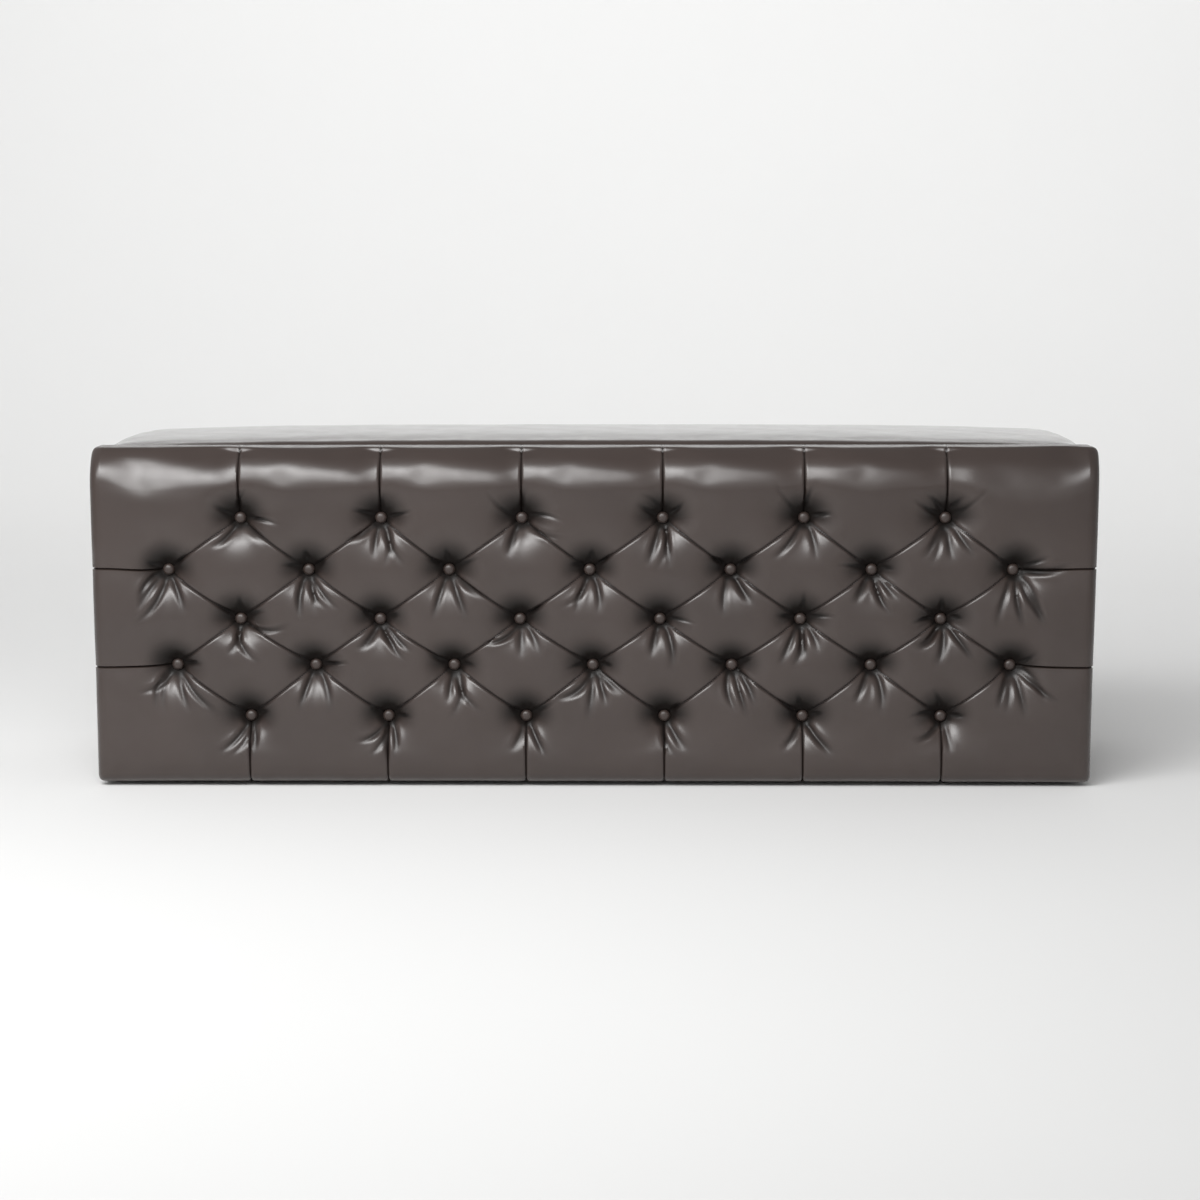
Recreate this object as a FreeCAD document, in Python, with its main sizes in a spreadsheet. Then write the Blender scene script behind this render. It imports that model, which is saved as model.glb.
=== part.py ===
"""Storage ottoman bench with a deep-buttoned front and a hinged, padded lid.

Millimetres, +Z up.  The origin is on the floor under the middle of the bench, X runs along its
length and the buttoned front faces -Y.  Every driving size is a cell of the sheet "sizes"; every
place is a formula in those cells, written once in the table "places".
"""

import FreeCAD
import Part
import Sketcher
import math
import os
import re

Vector = FreeCAD.Vector
RIGHT, BACK, UP = Vector(1, 0, 0), Vector(0, 1, 0), Vector(0, 0, 1)

# Driving sizes
sizes = {
    # the whole bench
    "bench_length": 1270,
    "bench_depth": 410,
    "seat_height": 445,
    "lid_height": 54.8,
    "front_drop": 10,
    # wooden box
    "board_thickness": 15,
    "bottom_thickness": 9,
    "batten_side": 20,
    "post_side": 28,
    "rail_width": 25,
    "rail_height": 25,
    "lining_thickness": 1.5,
    "frame_screw_radius": 2,
    "frame_screw_head_radius": 4,
    "frame_screw_length": 32,
    "frame_screw_point": 4,
    # underside
    "glide_height": 4.2,
    "glide_radius": 11,
    "glide_bevel": 1.5,
    "glide_inset": 40,
    "glide_nail_radius": 1.5,
    "glide_nail_length": 14,
    "dust_cover_thickness": 0.8,
    "dust_cover_margin": 6,
    # buttoned front
    "front_cover_depth": 25,
    "front_foam_depth": 20,
    "front_cover_wall": 14,
    "top_roll_depth": 10,
    "top_roll_radius": 20,
    "bottom_roll_radius": 14,
    "end_roll_radius": 10,
    "tuft_side_margin": 102.5,
    "tuft_top_margin": 91.5,
    "tuft_bottom_margin": 86,
    "first_row_left": -4.5,
    "first_row_right": 3.5,
    "first_row_lift": 0.5,
    "second_row_left": -8.5,
    "second_row_right": 1,
    "second_row_lift": -2.5,
    "third_row_left": -6,
    "third_row_right": -1,
    "third_row_lift": -2.5,
    "fourth_row_left": 1,
    "fourth_row_right": -1,
    "fourth_row_lift": 1.5,
    "fifth_row_left": 5.5,
    "fifth_row_right": 0.5,
    "fifth_row_lift": -1.5,
    "tuft_floor": 3,
    "tuft_rim_radius": 36,
    "tuft_seat_radius": 9,
    "pleat_depth": 7,
    "pleat_half_width": 13,
    "shoulder_lift": 0.6,
    "button_radius": 7.5,
    "button_height": 6,
    "button_rim": 2,
    "twine_radius": 0.9,
    "twine_grip": 2.5,
    "twine_hole_radius": 2.5,
    "knot_radius": 2.2,
    "knot_length": 3,
    "washer_radius": 10,
    "washer_thickness": 2,
    "washer_pocket_depth": 7,
    # plain ends and back
    "end_pad_depth": 12,
    "end_cover_skin": 4,
    "back_pad_depth": 8,
    "back_cover_skin": 3,
    "pad_edge_radius": 2.5,
    "pad_top_gap": 0.7,
    # lid
    "lid_gap": 1.2,
    "lid_front_gap": 4,
    "lid_rear_gap": 0.5,
    "lid_side_inset": 3,
    "lid_board_thickness": 12,
    "lid_foam_inset": 20,
    "lid_cover_wall": 7,
    "lid_cover_top": 9,
    "lid_crown_rise": 12,
    "lid_end_run": 60,
    "lid_end_drop": 7,
    "lid_corner_inset": 4,
    "lid_shoulder_radius": 9,
    "lid_liner_thickness": 0.8,
    "lid_liner_margin": 6,
    "lid_batten_width": 40,
    "lid_batten_height": 12,
    "lid_batten_end_margin": 335,
    "lid_batten_margin": 10,
    # hinges
    "hinge_length": 70,
    "hinge_end_margin": 205,
    "knuckle_radius": 5,
    "knuckle_gap": 0.3,
    "knuckle_notch": 6,
    "pin_radius": 2.5,
    "pin_head_radius": 4,
    "pin_head_height": 1.5,
    "leaf_thickness": 2,
    "leaf_width": 22,
    "leaf_spacing": 1.5,
    "hinge_screw_radius": 1.9,
    "hinge_screw_head_radius": 3.6,
    "hinge_screw_length": 9,
    "hinge_screw_point": 3,
    "hinge_screw_inset": 7,
    "hinge_screw_end_margin": 11,
    # clearances
    "running_gap": 0.05,
    "fastener_gap": 0.1,
    "mortise_gap": 0.3,
    "cut_overrun": 5,
}

# Counts and shares
TUFT_ROWS = 5
TUFTS_IN_SHORT_ROWS = 6
TUFTS_IN_LONG_ROWS = 7
KNUCKLES = 3
SCREWS_IN_LEAF = 2
ROW_NAMES = ("first", "second", "third", "fourth", "fifth")
SIDES = {
    "frame_screw": 6,
    "hinge_screw": 10,
    "glide": 8,
    "dimple": 8,
    "button": 8,
    "twine": 6,
    "washer": 6,
    "barrel": 12,
    "pin_head": 8,
}
DIMPLE_STEPS = 2
PLEAT_STEPS = 1
long_board_screw_shares = (0.2, 0.5, 0.8)
end_board_screw_shares = (0.3, 0.6, 0.9)
lid_run_shares = (0, 0.16, 0.5, 1)
lid_rise_shares = (0, 0.5, 0.85, 1)
lid_corner_shares = (1, 0.3, 0, 0)

# Places worked out from the sizes
places = {
    "half_length": "bench_length / 2",
    "box_half": "half_length - end_pad_depth",
    "inner_half": "box_half - board_thickness",
    "front_face": "-bench_depth / 2",
    "foam_face": "front_face + front_cover_depth",
    "front_board_face": "foam_face + front_foam_depth",
    "front_board_back": "front_board_face + board_thickness",
    "hinge_axis_depth": "bench_depth / 2 - knuckle_radius",
    "back_board_face": "hinge_axis_depth - back_pad_depth",
    "back_board_inner": "back_board_face - board_thickness",
    "base_level": "glide_height + dust_cover_thickness",
    "panel_level": "base_level + batten_side",
    "floor_level": "panel_level + bottom_thickness",
    "lid_bottom": "seat_height - lid_height",
    "rim_height": "lid_bottom - lid_gap",
    "front_top_height": "seat_height - front_drop",
    "front_board_top": "front_top_height - top_roll_depth",
    "front_foam_top": "front_board_top - front_cover_wall",
    "front_foam_half": "half_length - front_cover_wall",
    "pad_top": "rim_height - pad_top_gap",
    "post_front": "front_board_back + post_side",
    "post_rear": "back_board_inner - post_side",
    "post_inner": "inner_half - post_side",
    "rail_bottom": "rim_height - rail_height",
    "hinge_axis_height": "rim_height + lid_gap / 2",
    "lid_board_top": "lid_bottom + lid_board_thickness",
    "lid_foam_top": "seat_height - lid_crown_rise - lid_cover_top",
    "lid_half": "half_length - lid_side_inset",
    "lid_front": "front_board_back + lid_front_gap",
    "lid_rear": "hinge_axis_depth - lid_rear_gap",
    "lid_liner_bottom": "lid_bottom - lid_liner_thickness",
    "lid_batten_place": "half_length - lid_batten_end_margin",
    "tuft_pitch": f"(bench_length - 2 * tuft_side_margin) / {TUFTS_IN_LONG_ROWS - 1}",
    "tuft_top": "front_top_height - tuft_top_margin",
    "tuft_row_pitch": f"(tuft_top - base_level - tuft_bottom_margin) / {TUFT_ROWS - 1}",
    "tuft_depth": "front_cover_depth - tuft_floor",
    "tuft_seat": "front_face + tuft_depth",
    "washer_seat": "front_board_back - washer_pocket_depth",
    "washer_back": "washer_seat + washer_thickness",
    "twine_bore": "twine_radius + fastener_gap",
    "hinge_place": "half_length - hinge_end_margin",
    "knuckle_length": f"hinge_length / {KNUCKLES}",
    "hinge_screw_pitch": f"(hinge_length - 2 * hinge_screw_end_margin) / {SCREWS_IN_LEAF - 1}",
    "leaf_lift": "leaf_spacing / 2",
    "leaf_drop": "leaf_lift + leaf_thickness",
    "notch_half": "hinge_length / 2 + pin_head_height + mortise_gap",
    "notch_bottom": "hinge_axis_height - knuckle_notch",
    "notch_top": "hinge_axis_height + knuckle_notch",
}

doc = FreeCAD.newDocument("storage_ottoman_bench")
sheet = doc.addObject("Spreadsheet::Sheet", "sizes")
for row, (alias, number) in enumerate(sizes.items(), start=1):
    sheet.set(f"A{row}", alias)
    sheet.set(f"B{row}", str(number))
    sheet.setAlias(f"B{row}", alias)
doc.recompute()

nodes = []


def bound(text):
    """A formula in sizes and places, as an expression on the sheet's cells."""

    def swap(match):
        name = match.group(0)
        if name in places:
            return f"({bound(places[name])})"
        return f"sizes.{name}"

    return re.sub(r"[a-z][a-z_]*", swap, text)


def value(text):
    """The number that a formula gives, in millimetres."""
    return float(sheet.evalExpression(bound(text)))


def node(feature, label):
    """Names a finished sub-part and keeps it for export."""
    feature.Label = label
    nodes.append(feature)
    return feature


# Shared makers


def block(name, x, y, z):
    """A Part::Box between low and high formulas on each axis."""
    box = doc.addObject("Part::Box", name)
    for size, axis, (low, high) in zip(("Length", "Width", "Height"), "xyz", (x, y, z)):
        box.setExpression(size, bound(f"({high}) - ({low})"))
        box.setExpression(f"Placement.Base.{axis}", bound(low))
    return box


def both(half):
    """The span from -half to half."""
    return f"-({half})", half


def beside(sign, near_side, far_side):
    """The span from a near to a far place, on the right of the middle or mirrored to the left."""
    return (near_side, far_side) if sign > 0 else (f"-({far_side})", f"-({near_side})")


def compound(name, *features):
    group = doc.addObject("Part::Compound", name)
    group.Links = list(features)
    return group


def cut(name, base, *tools):
    """Part::Cut of one feature by one or more others, which stay clear of each other."""
    result = doc.addObject("Part::Cut", name)
    result.Base = base
    result.Tool = tools[0] if len(tools) == 1 else compound(f"{name}_tools", *tools)
    return result


def solids(name, shapes):
    """A Part::Feature that holds a group of separate solids."""
    feature = doc.addObject("Part::Feature", name)
    feature.Shape = Part.Compound(shapes)
    return feature


def rounded(name, base, radius, chosen):
    """Part::Fillet of the edges that chosen() picks by their middle point."""
    doc.recompute()
    fillet = doc.addObject("Part::Fillet", name)
    fillet.Base = base
    edges = enumerate(base.Shape.Edges, start=1)
    fillet.Edges = [(n, radius, radius) for n, edge in edges if chosen(edge.CenterOfMass)]
    return fillet


def near(a, text):
    """Whether a coordinate lies at a formula."""
    return math.isclose(a, value(text), abs_tol=value("running_gap"))


def turned(points, sides):
    """A faceted solid about Z whose closed outline runs through (radius, height) points."""
    turn = 2 * math.pi / sides

    def ring(radius, height):
        angles = [n * turn for n in range(sides + 1)]
        return [Vector(radius * math.cos(a), radius * math.sin(a), height) for a in angles]

    faces = []
    for (r, low), (s, high) in zip(points, points[1:] + points[:1]):
        if r == s == 0:
            continue
        near_ring, far_ring = ring(r, low), ring(s, high)
        if low == high:
            outer, inner = (near_ring, far_ring) if r > s else (far_ring, near_ring)
            flat = Part.Face(Part.makePolygon(outer))
            if min(r, s):
                flat = flat.cut(Part.Face(Part.makePolygon(inner))).Faces[0]
            faces.append(flat)
            continue
        for n in range(sides):
            corners = [near_ring[n], near_ring[n + 1]] if r else [near_ring[n]]
            corners += [far_ring[n + 1], far_ring[n]] if s else [far_ring[n]]
            faces.append(Part.Face(Part.makePolygon(corners + corners[:1])))
    shell = Part.makeShell(faces)
    shell.sewShape()
    solid = Part.makeSolid(shell)
    if solid.Volume < 0:
        solid.reverse()
    return solid


def rod(radius, low, high, sides):
    """A faceted bar about Z between two heights."""
    return turned([(0, low), (radius, low), (radius, high), (0, high)], sides)


def placed(shape, point, direction):
    """A copy of a shape with its origin at a point and its Z axis along a direction."""
    copy = shape.copy()
    copy.Placement = FreeCAD.Placement(point, FreeCAD.Rotation(UP, direction))
    return copy


def sketch_on(body, role, name, offset="0"):
    """A sketch on one of a body's origin planes, moved by a formula along the plane's normal."""
    sketch = body.newObject("Sketcher::SketchObject", name)
    plane = next(f for f in body.Origin.OriginFeatures if f.Role == role)
    sketch.AttachmentSupport = [(plane, "")]
    sketch.MapMode = "FlatFace"
    sketch.setExpression("AttachmentOffset.Base.z", bound(offset))
    return sketch


def pin_point(sketch, geometry, point, x, y):
    """Holds one point of a sketch at two formulas from the sketch's origin."""
    for axis, text in (("X", x), ("Y", y)):
        place = Sketcher.Constraint(f"Distance{axis}", -1, 1, geometry, point, value(text))
        sketch.setExpression(f"Constraints[{sketch.addConstraint(place)}]", bound(text))


def polygon(sketch, *corners):
    """A closed polygon whose corners are held at pairs of formulas."""
    points = [Vector(value(x), value(y), 0) for x, y in corners]
    sides = zip(points, points[1:] + points[:1])
    edges = [sketch.addGeometry(Part.LineSegment(a, b), False) for a, b in sides]
    for edge, following in zip(edges, edges[1:] + edges[:1]):
        sketch.addConstraint(Sketcher.Constraint("Coincident", edge, 2, following, 1))
    for edge, (x, y) in zip(edges, corners):
        pin_point(sketch, edge, 1, x, y)


def rectangle(sketch, x, y):
    (left, right), (low, high) = x, y
    polygon(sketch, (left, low), (right, low), (right, high), (left, high))


def circle(sketch, x, y, radius):
    ring = Part.Circle(Vector(value(x), value(y), 0), UP, value(radius))
    geometry = sketch.addGeometry(ring, False)
    pin_point(sketch, geometry, 3, x, y)
    size = sketch.addConstraint(Sketcher.Constraint("Radius", geometry, value(radius)))
    sketch.setExpression(f"Constraints[{size}]", bound(radius))


def facet_circle(sketch, x, y, radius, sides):
    """A regular polygon round a point, its first corner to the right."""
    corners = []
    for n in range(sides):
        angle = 2 * math.pi * n / sides
        across, up = round(math.cos(angle), 9), round(math.sin(angle), 9)
        corners.append((f"{x} + ({radius}) * {across}", f"{y} + ({radius}) * {up}"))
    polygon(sketch, *corners)


def pad(body, sketch, length, midplane=False):
    feature = body.newObject("PartDesign::Pad", f"{sketch.Name}_pad")
    feature.Profile = sketch
    feature.setExpression("Length", bound(length))
    feature.Midplane = midplane
    doc.recompute()
    return feature


def pocket_through(body, sketch):
    """A pocket through everything on both sides of its sketch."""
    feature = body.newObject("PartDesign::Pocket", f"{sketch.Name}_pocket")
    feature.Profile = sketch
    feature.Type = "ThroughAll"
    feature.Midplane = True
    doc.recompute()
    return feature


def pocket_into(body, sketch, depth):
    """A pocket from its sketch into the body, on the side that the body was padded to."""
    feature = body.newObject("PartDesign::Pocket", f"{sketch.Name}_pocket")
    feature.Profile = sketch
    feature.setExpression("Length", bound(depth))
    feature.Reversed = True
    doc.recompute()
    return feature


def row_of(body, features, sketch, spacing, count):
    """A linear pattern of features along a sketch's horizontal axis."""
    pattern = body.newObject("PartDesign::LinearPattern", f"{sketch.Name}_row")
    pattern.Originals = features
    pattern.Direction = (sketch, ["H_Axis"])
    pattern.Mode = "Spacing"
    pattern.setExpression("Offset", bound(spacing))
    pattern.Occurrences = count
    body.Tip = pattern
    doc.recompute()
    return pattern


def body_fillet(body, base, radius, chosen):
    """PartDesign::Fillet of the edges that chosen() picks by their middle point."""
    edges = enumerate(base.Shape.Edges, start=1)
    feature = body.newObject("PartDesign::Fillet", f"{radius}_fillet")
    feature.Base = (base, [f"Edge{n}" for n, edge in edges if chosen(edge.CenterOfMass)])
    feature.setExpression("Radius", bound(radius))
    doc.recompute()
    return feature


# Screws


def screw(kind, gap):
    """A countersunk screw that runs down -Z from its flat head; a gap makes it its own bore."""
    radius, head, length, point = (
        value(f"{kind}_screw_{part}") for part in ("radius", "head_radius", "length", "point")
    )
    neck = radius - head
    outline = [
        (0, gap),
        (head + gap, gap),
        (radius + gap, neck),
        (radius + gap, point - length),
        (0, -length - gap),
    ]
    return turned(outline, SIDES[f"{kind}_screw"])


def screw_group(name, kind, seats):
    """A node of screws, from (head point, driving direction) seats, and the bores they need."""
    seats = list(seats)
    shank, bore = screw(kind, 0), screw(kind, value("fastener_gap"))
    node(solids(name, [placed(shank, seat, -drive) for seat, drive in seats]), name)
    return solids(f"{name}_bores", [placed(bore, seat, -drive) for seat, drive in seats])


def frame_screw_seats():
    """Screws through the long boards and the end boards into the four corner posts."""
    low, tall = value("base_level"), value("rim_height - base_level")
    for sign in (-1, 1):
        for share in long_board_screw_shares:
            x = sign * value("inner_half - post_side / 2")
            yield Vector(x, value("front_board_face"), low + share * tall), BACK
            yield Vector(x, value("back_board_face"), low + share * tall), -BACK
        for share in end_board_screw_shares:
            for depth in ("front_board_back + post_side / 2", "back_board_inner - post_side / 2"):
                seat = Vector(sign * value("box_half"), value(depth), low + share * tall)
                yield seat, RIGHT * -sign


def hinge_screw_seats(side):
    """Screws of all three hinge leaves, on the box (side -1) or on the lid (side 1)."""
    depth = value("hinge_axis_depth - leaf_width + hinge_screw_inset")
    height = value("hinge_axis_height") + side * value("leaf_lift")
    middle = (SCREWS_IN_LEAF - 1) / 2
    for hinge in (-1, 0, 1):
        for n in range(SCREWS_IN_LEAF):
            x = hinge * value("hinge_place") + (n - middle) * value("hinge_screw_pitch")
            yield Vector(x, depth, height), UP * side


# Places of the tufts and of the pleats that join them


def row_formulas(number):
    """One row's count of buttons and formulas for its first place, pitch and height."""
    count = TUFTS_IN_LONG_ROWS if number % 2 else TUFTS_IN_SHORT_ROWS
    row = ROW_NAMES[number]
    start = f"{row}_row_left - tuft_pitch * {count - 1} / 2"
    pitch = f"tuft_pitch + ({row}_row_right - {row}_row_left) / {count - 1}"
    height = f"tuft_top - tuft_row_pitch * {number} + {row}_row_lift"
    return count, start, pitch, height


def tuft_row(number):
    """The (x, z) places of one row of buttons, from the top row 0; odd rows are the long ones."""
    count, start, pitch, height = row_formulas(number)
    return [(value(start) + n * value(pitch), value(height)) for n in range(count)]


tuft_rows = [tuft_row(number) for number in range(TUFT_ROWS)]
tufts = [place for places_in_row in tuft_rows for place in places_in_row]


def diagonal_runs():
    """Ends of each pleat between neighbouring buttons of two rows, from the upper button down."""
    for upper, lower in zip(tuft_rows, tuft_rows[1:]):
        for n, place in enumerate(upper):
            first = n if len(lower) > len(upper) else n - 1
            yield from ((place, lower[m]) for m in (first, first + 1) if 0 <= m < len(lower))


# Dimples and pleats, made in the XZ plane with the front face at height zero and depth down -Z


def shoulder(edge, depth, half_width, steps):
    """Points that roll from just above the face, at edge, down to depth at edge - half_width."""
    lift = value("shoulder_lift")
    drop = depth + lift
    radius = (half_width**2 + drop**2) / (2 * drop)
    sweep = math.acos((radius - drop) / radius)
    angles = [sweep * n / steps for n in range(steps)]
    points = [(edge - radius * math.sin(a), lift - radius + radius * math.cos(a)) for a in angles]
    return points + [(edge - half_width, -depth)]


def dimple():
    """The trumpet-shaped dimple of one button, with its twine hole."""
    rim, seat, bore = value("tuft_rim_radius"), value("tuft_seat_radius"), value("twine_bore")
    depth, over = value("tuft_depth"), value("cut_overrun")
    end = -value("front_cover_depth") - over
    outline = [(0, over), (rim, over), *shoulder(rim, depth, rim - seat, DIMPLE_STEPS)]
    outline += [(bore, -depth), (bore, end), (0, end)]
    return turned(outline, SIDES["dimple"])


def pleat_section():
    """The cross-section of a pleat: two shoulders that meet in a crease."""
    half, over = value("pleat_half_width"), value("cut_overrun")
    right = shoulder(half, value("pleat_depth"), half, PLEAT_STEPS)
    left = [(-x, z) for x, z in right[-2::-1]]
    corners = [Vector(x, 0, z) for x, z in [(half, over), *right, *left, (-half, over)]]
    return Part.Face(Part.makePolygon(corners + corners[:1]))


def laid(section, point, along, out):
    """A copy of a pleat's section at a point, square to the pleat's run and open towards out."""
    copy = section.copy()
    across = along.cross(out)
    rows = [
        (getattr(across, axis), getattr(along, axis), getattr(out, axis), getattr(point, axis))
        for axis in "xyz"
    ]
    copy.Placement = FreeCAD.Placement(FreeCAD.Matrix(*rows[0], *rows[1], *rows[2]))
    return copy


def straight_pleat(section, start, end, out):
    run = end - start
    return laid(section, start, Vector(run).normalize(), out).extrude(run)


def edge_pleat(section, place, along, edge, radius, tail):
    """A pleat from a button to an edge of the front, over the edge's roll and on for a tail."""
    start = Vector(place[0], value("front_face"), place[1])
    turn = start + along * (edge - start.dot(along) - radius)
    crest = turn + along * radius + BACK * radius
    reach = radius * math.tan(math.pi / 8)
    first, second = turn + along * reach, crest - BACK * reach
    return [
        straight_pleat(section, start, first, -BACK),
        straight_pleat(section, first, second, (along - BACK).normalize()),
        straight_pleat(section, second, crest + BACK * (tail - radius), along),
    ]


def front_cutters():
    """The pleats to the edges, the diagonal pleats and the dimples, in the order they are cut."""
    face, section, trumpet = value("front_face"), pleat_section(), dimple()
    dimples = [placed(trumpet, Vector(x, face, z), -BACK) for x, z in tufts]
    diagonals = [
        straight_pleat(section, Vector(x0, face, z0), Vector(x1, face, z1), -BACK)
        for (x0, z0), (x1, z1) in diagonal_runs()
    ]
    edges = []
    board = value("front_board_face - front_face + cut_overrun")
    roof = value("front_board_back - front_face + cut_overrun")
    top, bottom, end = value("front_top_height"), -value("base_level"), value("half_length")
    top_roll, bottom_roll = value("top_roll_radius"), value("bottom_roll_radius")
    end_roll = value("end_roll_radius")
    for place in tuft_rows[0]:
        edges += edge_pleat(section, place, UP, top, top_roll, roof)
    for place in tuft_rows[-1]:
        edges += edge_pleat(section, place, -UP, bottom, bottom_roll, board)
    for places_in_row in tuft_rows[1::2]:
        edges += edge_pleat(section, places_in_row[0], -RIGHT, end, end_roll, board)
        edges += edge_pleat(section, places_in_row[-1], RIGHT, end, end_roll, board)
    return edges, diagonals, dimples


# Fasteners of the wooden box and of the hinges

frame_bores = screw_group("frame_screws", "frame", frame_screw_seats())
hinge_base_bores = screw_group("hinge_base_screws", "hinge", hinge_screw_seats(-1))
hinge_lid_bores = screw_group("hinge_lid_screws", "hinge", hinge_screw_seats(1))


# Wooden box

front_board = doc.addObject("PartDesign::Body", "front_board_body")
outline = sketch_on(front_board, "XZ_Plane", "front_board_outline", "-(front_board_back)")
rectangle(outline, both("box_half"), ("base_level", "front_board_top"))
pad(front_board, outline, "board_thickness")
for number in range(TUFT_ROWS):
    count, start, pitch, height = row_formulas(number)
    row = ROW_NAMES[number]
    holes = sketch_on(front_board, "XZ_Plane", f"{row}_row_holes", "-(front_board_back)")
    facet_circle(holes, start, height, "twine_hole_radius", SIDES["twine"])
    bore = pocket_into(front_board, holes, "board_thickness")
    seats = sketch_on(front_board, "XZ_Plane", f"{row}_row_seats", "-(front_board_back)")
    facet_circle(seats, start, height, "washer_radius + mortise_gap", SIDES["washer"])
    seat = pocket_into(front_board, seats, "washer_pocket_depth")
    row_of(front_board, [bore, seat], holes, pitch, count)
node(cut("front_board_cut", front_board, frame_bores), "front_board")

hinge_spots = {"left": "-hinge_place", "middle": "0", "right": "hinge_place"}
walls = ("base_level", "rim_height")
back_board = block(
    "back_board_blank", both("box_half"), ("back_board_inner", "back_board_face"), walls
)
mortises = [
    block(
        f"{side}_base_mortise",
        (f"{spot} - hinge_length / 2 - mortise_gap", f"{spot} + hinge_length / 2 + mortise_gap"),
        ("hinge_axis_depth - leaf_width - mortise_gap", "hinge_axis_depth"),
        ("hinge_axis_height - leaf_drop", "hinge_axis_height + cut_overrun"),
    )
    for side, spot in hinge_spots.items()
]
grooved = cut("back_board_grooved", back_board, *mortises)
drilled = cut("back_board_drilled", grooved, frame_bores)
node(cut("back_board_cut", drilled, hinge_base_bores), "back_board")

between = ("front_board_back", "back_board_inner")
sides = {"left": -1, "right": 1}
for side, sign in sides.items():
    blank = block(f"{side}_end_blank", beside(sign, "inner_half", "box_half"), between, walls)
    node(cut(f"{side}_end_cut", blank, frame_bores), f"{side}_end_board")

corners = [
    (side, sign, end, depth)
    for side, sign in sides.items()
    for end, depth in (
        ("front", ("front_board_back", "post_front")),
        ("rear", ("post_rear", "back_board_inner")),
    )
]
posts = [
    block(
        f"{side}_{end}_post",
        beside(sign, "post_inner", "inner_half"),
        depth,
        ("floor_level", "rim_height"),
    )
    for side, sign, end, depth in corners
]
post_group = compound("corner_posts_blank", *posts)
node(cut("corner_posts_cut", post_group, frame_bores), "corner_posts")

rails = ("rail_bottom", "rim_height")
front_rail_depth = ("front_board_back", "front_board_back + rail_width")
rear_rail_depth = ("back_board_inner - rail_width", "back_board_inner")
node(block("front_rail", both("post_inner"), front_rail_depth, rails), "front_lid_rail")
node(block("rear_rail", both("post_inner"), rear_rail_depth, rails), "rear_lid_rail")

bottom = block("bottom_block", both("inner_half"), between, ("panel_level", "floor_level"))
node(bottom, "bottom_panel")

lining_outer = cut(
    "lining_outer",
    block("lining_block", both("inner_half"), between, ("floor_level", "rail_bottom")),
    *posts,
)
lining_space = cut(
    "lining_space",
    block(
        "lining_space_block",
        both("inner_half - lining_thickness"),
        ("front_board_back + lining_thickness", "back_board_inner - lining_thickness"),
        ("floor_level + lining_thickness", "rim_height"),
    ),
    *[
        block(
            f"{side}_{end}_post_wrapped",
            beside(sign, "post_inner - lining_thickness", "inner_half"),
            (f"{depth[0]} - lining_thickness", f"{depth[1]} + lining_thickness"),
            ("floor_level", "rim_height + cut_overrun"),
        )
        for side, sign, end, depth in corners
    ],
)
node(cut("lining_cut", lining_outer, lining_space), "storage_lining")


# Underside


def glide():
    """A bevelled disc that stands on the floor, with its nail up into a batten."""
    radius, bevel, tall = value("glide_radius"), value("glide_bevel"), value("glide_height")
    nail = value("glide_nail_radius")
    tip = value("base_level + glide_nail_length")
    outline = [
        (0, 0),
        (radius - bevel, 0),
        (radius, bevel),
        (radius, tall),
        (nail, tall),
        (nail, tip - nail),
        (0, tip),
    ]
    return turned(outline, SIDES["glide"])


glide_spots = [
    Vector(sign * value("inner_half - glide_inset"), value(depth), 0)
    for sign in (-1, 0, 1)
    for depth in ("front_board_back + batten_side / 2", "back_board_inner - batten_side / 2")
]
node(solids("glide_group", [placed(glide(), spot, UP) for spot in glide_spots]), "floor_glides")
nail_bore = rod(
    value("glide_nail_radius + fastener_gap"),
    value("glide_height"),
    value("base_level + glide_nail_length + fastener_gap"),
    SIDES["glide"],
)
nail_bores = solids("nail_bores", [placed(nail_bore, spot, UP) for spot in glide_spots])

low = ("base_level", "panel_level")
front_batten_depth = ("front_board_back", "front_board_back + batten_side")
rear_batten_depth = ("back_board_inner - batten_side", "back_board_inner")
battens = [
    block("front_batten", both("inner_half"), front_batten_depth, low),
    block("rear_batten", both("inner_half"), rear_batten_depth, low),
]
for side, sign in sides.items():
    across = beside(sign, "inner_half - batten_side", "inner_half")
    battens.append(
        block(f"{side}_batten", across, (front_batten_depth[1], rear_batten_depth[0]), low)
    )
batten_group = compound("bottom_battens_blank", *battens)
node(cut("bottom_battens_cut", batten_group, nail_bores), "bottom_battens")

dust_cover = block(
    "dust_cover_sheet",
    both("box_half - dust_cover_margin"),
    ("front_board_face + dust_cover_margin", "back_board_face - dust_cover_margin"),
    ("glide_height", "base_level"),
)
node(cut("dust_cover_cut", dust_cover, nail_bores), "dust_cover")


# Buttoned front

front_foam = block(
    "front_foam_slab",
    both("front_foam_half"),
    ("foam_face", "front_board_face"),
    ("base_level + front_cover_wall", "front_foam_top"),
)
foam_bore = rod(
    value("twine_bore"),
    -value("front_foam_depth + cut_overrun"),
    value("cut_overrun"),
    SIDES["twine"],
)
foam_bores = solids(
    "foam_bores", [placed(foam_bore, Vector(x, value("foam_face"), z), -BACK) for x, z in tufts]
)
node(cut("front_foam_cut", front_foam, foam_bores), "front_foam")

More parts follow.
